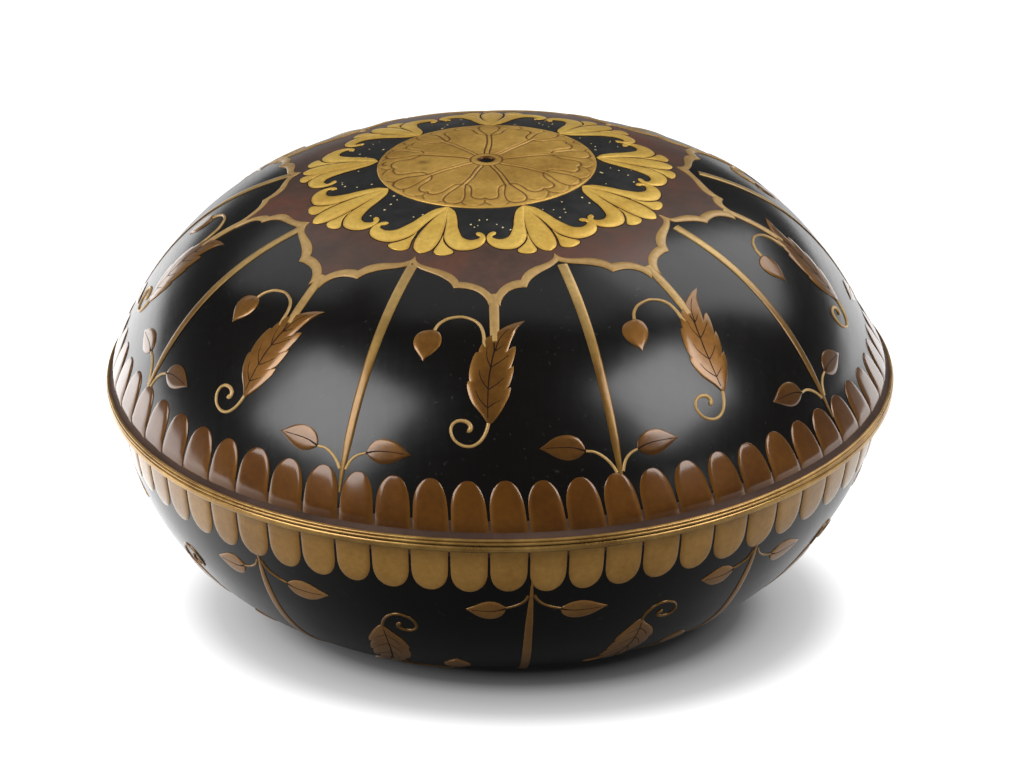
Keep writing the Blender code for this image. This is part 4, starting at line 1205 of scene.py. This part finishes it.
def lidRibLine(k):
    # The rib's middle line round its own meridian, bent so that it passes its three turns
    top, half, low = (radians(turn) for turn in lidRibTurns[k])
    share = np.linspace(0.0, 1.0, 9)
    along = ribs["lidTop"] + (ribs["lidEnd"] - ribs["lidTop"]) * share
    bend = (top - half) * (1 - share) * (1 - 2 * share) + (low - half) * share * (2 * share - 1)
    return np.stack((bend * np.interp(along * mm, lidGround["s"], lidGround["r"]) / mm, along), 1)


def stemLine(turn, middle, endX, endS):
    # From inside the frame's joint to just past the leaf's top, in the drawing's own millimetres
    joint = collarPoint(collar["joint"] - collar["stemInset"], turn)
    away = np.hypot(*joint)
    jointS = float(np.interp(away * mm, lidGround["r"], lidGround["s"])) / mm
    jointX = ((np.arctan2(joint[1], joint[0]) - middle + pi) % (2 * pi) - pi) * away
    start, end = np.array((jointX, jointS)), np.array((endX, endS))
    return np.array((start, start * 0.7 + end * 0.3, start * 0.3 + end * 0.7, end + (0.0, 1.5)))


lidParts = {"ribs": [], "leaves": [], "tendrils": [], "lines": []}
for k, spoke in enumerate(spokes):
    ribMiddle, ribLow = radians(lidRibTurns[k][1]), radians(lidRibTurns[k][2])
    lidParts["ribs"].append(ribPart(onPanel(lidGround, ribMiddle, 0.0), lidRibLine(k), ribs["lidWidth"],
                                    ribs["lidHeight"]))
    addTo(lidParts, *pairParts(onPanel(lidGround, ribLow, ribs["lidPair"]),
                               hung(lidPairRows, lidPairShifts.get(k, (0.0, 0.0)))))
    shiftX, shiftS, lean = lidPanels[k]
    middle, top = spoke + pi / 9, ribs["lidLeaf"] + shiftS
    stem = stemLine(radians(joints[k]), middle, shiftX - 0.3 * lean, top)
    frameBands.append(stroke(onPanel(lidGround, middle, 0.0), stem, collar["stemWidth"], collar["height"],
                             collar["edge"], across=6, power=2.6, spacing=1.2, soft=0.8))
    addTo(lidParts, *sprigParts(leaned(onPanel(lidGround, middle, top), shiftX, lean)))
makePiece("lidFrame", frameBands, goldFrame, sharp=50.0)
makePiece("lidRibs", lidParts["ribs"], goldRib, sharp=50.0)
makePiece("lidLeaves", lidParts["leaves"], goldLeaf, sharp=50.0)
makePiece("lidTendrils", lidParts["tendrils"], goldFrame, sharp=60.0)
makePiece("lidLines", lidParts["lines"], lineBrown, sharp=60.0)

bowlParts = {"ribs": [], "leaves": [], "tendrils": [], "lines": []}
bowlTurns = [radians(turn) for turn in ribs["bowlTurns"]]
for k, (turn, after) in enumerate(zip(bowlTurns, bowlTurns[1:] + [bowlTurns[0] + 2 * pi])):
    reach = ribs["bowlEnd"] - ribs["bowlTop"]
    along = [(0.0, ribs["bowlTop"] + reach * share) for share in (0.0, 0.09, 0.3, 0.6, 0.8, 1.0)]
    bowlParts["ribs"].append(ribPart(onPanel(bowlGround, turn, 0.0), along, ribs["bowlWidth"],
                                     ribs["bowlHeight"]))
    addTo(bowlParts, *pairParts(onPanel(bowlGround, turn, ribs["bowlPair"]), bowlPairRows, -1.0))
    shift = bowlSprigs["across"][k]
    place = onPanel(bowlGround, (turn + after) / 2, bowlSprigs["leafTip"][k] + bowlSprigs["leafLength"], -1.0)
    addTo(bowlParts, *sprigParts(leaned(place, shift, 0.0), bowlSprigs["deeper"]))
    stem = [(shift * share, y) for share, y in bowlSprigs["stem"]]
    bowlParts["tendrils"].append(stroke(place, stem, bowlSprigs["stemWidth"], 0.5, 0.2, across=5, power=3.0,
                                        spacing=2.0, soft=0.9))
makePiece("bowlRibs", bowlParts["ribs"], goldLeafWithPaintedLight, sharp=50.0)
makePiece("bowlLeaves", bowlParts["leaves"], goldLeafWithPaintedLight, sharp=50.0)
makePiece("bowlTendrils", bowlParts["tendrils"], goldRib, sharp=60.0)
makePiece("bowlLines", bowlParts["lines"], lineBrown, sharp=60.0)
print("ribs, leaves and tendrils made")


# Gold flakes in the black between medallion and palmettes
flakes = {"perPanel": 9, "size": (0.20, 0.40), "across": 12.4, "out": (34.8, 47.5), "narrowFrom": 37.0,
          "narrowing": 0.45, "top": 0.09, "sink": 0.1}


def flakeParts():
    # Small crumpled six-sided flakes, scattered clear of the palmettes, in a stretch that narrows outwards
    made = []
    wide = flakes["across"]
    for spoke in spokes:
        kept = 0
        while kept < flakes["perPanel"]:
            across, out = rng.uniform(-wide, wide), rng.uniform(*flakes["out"])
            if abs(across) > wide - flakes["narrowing"] * max(0.0, out - flakes["narrowFrom"]):
                continue
            turns = np.arange(6) * pi / 3 + rng.uniform(0, 1)
            size = rng.uniform(*flakes["size"]) * rng.uniform(0.7, 1.15, 6)
            ring = np.stack((across + size * np.cos(turns), out + size * np.sin(turns)), 1)
            plan = turnedPlan(ring, spoke + pi / 9, rosette["middle"])
            top = onPlan(plan[:, 0], plan[:, 1], flakes["top"])
            low = onPlan(plan[:, 0], plan[:, 1], -flakes["sink"])
            faces = ringFaces(2, 6, False).tolist() + [[5, 4, 3, 2, 1, 0], [6, 7, 8, 9, 10, 11]]
            made.append((np.concatenate((top, low)), faces, np.zeros(12)))
            kept += 1
    return made


makePiece("flakes", flakeParts(), goldFlake)
print("flakes made")


# Pale floor, soft lights
stage = {
    "radius": 3.0, "rings": 13, "columns": 96, "drop": 0.0002, "sweep": 0.26, "sweepFrom": 1.6,
    "colour": (0.10, 0.10, 0.10), "white": 1.15, "shed": 4.8,
    # the contact shadow painted into the floor's glow: its half widths, middle and turn
    "paintedShadow": (0.103, 0.073), "paintedShadowMiddle": (0.004, -0.024, 0.0), "paintedShadowTurn": -5.0,
}


def vectorMath(tree, vector, operation, output):
    # A vector's length or heading
    node = tree.nodes.new("ShaderNodeVectorMath")
    node.operation = operation
    tree.links.new(vector, node.inputs[0])
    return node.outputs[output]


def floorMaterial():
    # White to the eye, with a contact shadow painted into that white glow. The light it sheds grows from the
    # front to the sides and falls again right behind, is less to the right, and little under the box
    material, tree, shader, where = startMaterial("pale studio floor")
    shader.inputs["Base Color"].default_value = (*stage["colour"], 1.0)
    shader.inputs["Roughness"].default_value = 0.7
    shader.inputs["Specular IOR Level"].default_value = 0.0
    length = vectorMath(tree, where.outputs["Object"], "LENGTH", "Value")
    heading = vectorMath(tree, where.outputs["Object"], "NORMALIZE", "Vector")
    split = tree.nodes.new("ShaderNodeSeparateXYZ")
    tree.links.new(heading, split.inputs["Vector"])
    halved = []
    for axis in ("X", "Y"):
        node = tree.nodes.new("ShaderNodeMapRange")
        node.inputs["From Min"].default_value = -1.0
        tree.links.new(split.outputs[axis], node.inputs["Value"])
        halved.append(node.outputs["Result"])
    # the painted contact shadow is an oval, a little in front of the foot
    oval = tree.nodes.new("ShaderNodeMapping")
    oval.vector_type = "TEXTURE"
    oval.inputs["Location"].default_value = stage["paintedShadowMiddle"]
    oval.inputs["Rotation"].default_value = (0.0, 0.0, radians(stage["paintedShadowTurn"]))
    oval.inputs["Scale"].default_value = (2 * stage["paintedShadow"][0], 2 * stage["paintedShadow"][1], 1.0)
    tree.links.new(where.outputs["Object"], oval.inputs["Vector"])
    reach = vectorMath(tree, oval.outputs["Vector"], "LENGTH", "Value")
    # painted shadow: the white glow the camera sees fades to dark inside the oval
    white = ramp(tree, reach, (
        level(0.30, 0.0), level(0.35, 0.06), level(0.40, 0.29), level(0.435, 0.38), level(0.46, 0.45),
        level(0.48, 0.57), level(0.50, 0.72), level(0.52, 0.86), level(0.55, 1.0)))
    around = ramp(tree, halved[1], (
        level(0.0, 0.0), level(0.04, 0.01), level(0.12, 0.05), level(0.25, 0.20), level(0.42, 0.46),
        level(0.62, 0.62), level(0.82, 0.78), level(0.93, 0.52), level(1.0, 0.12)))
    sideways = ramp(tree, halved[0], (level(0.0, 1.0), level(0.5, 0.7), level(1.0, 0.54)))
    near = ramp(tree, length, (
        level(0.08, 0.094), level(0.11, 0.625), level(0.25, 0.625), level(0.5, 0.80), level(1.0, 1.0)))
    shed = mixed(tree, 1.0, mixed(tree, 1.0, around, sideways, "MULTIPLY"), near, "MULTIPLY")
    strength = tree.nodes.new("ShaderNodeMix")
    strength.inputs[2].default_value = stage["shed"]
    strength.inputs[3].default_value = stage["white"]
    path = tree.nodes.new("ShaderNodeLightPath")
    tree.links.new(path.outputs["Is Camera Ray"], strength.inputs[0])
    tree.links.new(strength.outputs[0], shader.inputs["Emission Strength"])
    tree.links.new(mixed(tree, path.outputs["Is Camera Ray"], shed, white), shader.inputs["Emission Color"])
    return material


def floorPart():
    # A disc of rings that grow as share ** 2; far out on the left it sweeps up as
    # sweep * (share beyond sweepFrom) ** 2 * sqrt(-cos(turn))
    rings, columns = stage["rings"], stage["columns"]
    turn = np.linspace(0.0, 2 * pi, columns + 1)[:-1]
    reach = np.linspace(0.0, 1.0, rings + 1)[1:, None] ** 2 * stage["radius"]
    beyond = np.clip((reach - stage["sweepFrom"]) / (stage["radius"] - stage["sweepFrom"]), 0, 1)
    rise = stage["sweep"] * beyond ** 2 * np.clip(-np.cos(turn), 0, 1) ** 0.5 - stage["drop"]
    points = np.stack((reach * np.cos(turn), reach * np.sin(turn), rise), -1).reshape(-1, 3)
    points = np.concatenate((points, [(0.0, 0.0, -stage["drop"])]))
    middle = [[(j + 1) % columns, j, rings * columns] for j in range(columns)]
    return points, ringFaces(rings, columns, False).tolist() + middle


floorPoints, floorFaces = floorPart()
floorMesh = bpy.data.meshes.new("floor")
floorMesh.from_pydata(floorPoints.tolist(), [], floorFaces)
floorMesh.materials.append(floorMaterial())
floor = bpy.data.objects.new("floor", floorMesh)
scene.collection.objects.link(floor)

world = bpy.data.worlds.new("studio")
world.use_nodes = True
world.node_tree.nodes["Background"].inputs["Color"].default_value = (0.065, 0.065, 0.065, 1.0)
scene.world = world

# Each light: azimuth from behind to the right, elevation, distance, width, height and radiance; the low
# fill has no mirror image in the lacquer, and all aim at the middle of the box
lamps = {
    "left front": (-120.5, 39.5, 1.5, 0.96, 0.82, 5.4),
    "right front": (114.5, 41.0, 1.5, 0.72, 0.72, 5.8),
    "right back": (49.0, 41.0, 1.6, 0.85, 1.12, 2.0),
    "left back": (-39.0, 43.0, 1.6, 0.66, 0.76, 0.75),
    "overhead": (10.0, 73.0, 1.7, 1.30, 0.80, 0.45),
    "low fill": (172.0, 9.0, 1.4, 1.20, 0.50, 2.4),
}
aimHeight = 0.08
for label, (azimuth, elevation, distance, width, height, radiance) in lamps.items():
    data = bpy.data.lights.new(label, "AREA")
    data.shape = "RECTANGLE"
    data.size, data.size_y = width, height
    data.energy = radiance * pi * width * height
    lamp = bpy.data.objects.new(label, data)
    a, e = radians(azimuth), radians(elevation)
    spot = Vector((sin(a) * cos(e), cos(a) * cos(e), sin(e))) * distance
    lamp.location = spot + Vector((0.0, 0.0, aimHeight))
    lamp.rotation_euler = spot.to_track_quat("Z", "Y").to_euler()
    lamp.visible_glossy = label != "low fill"
    scene.collection.objects.link(lamp)
print("floor and lights made")
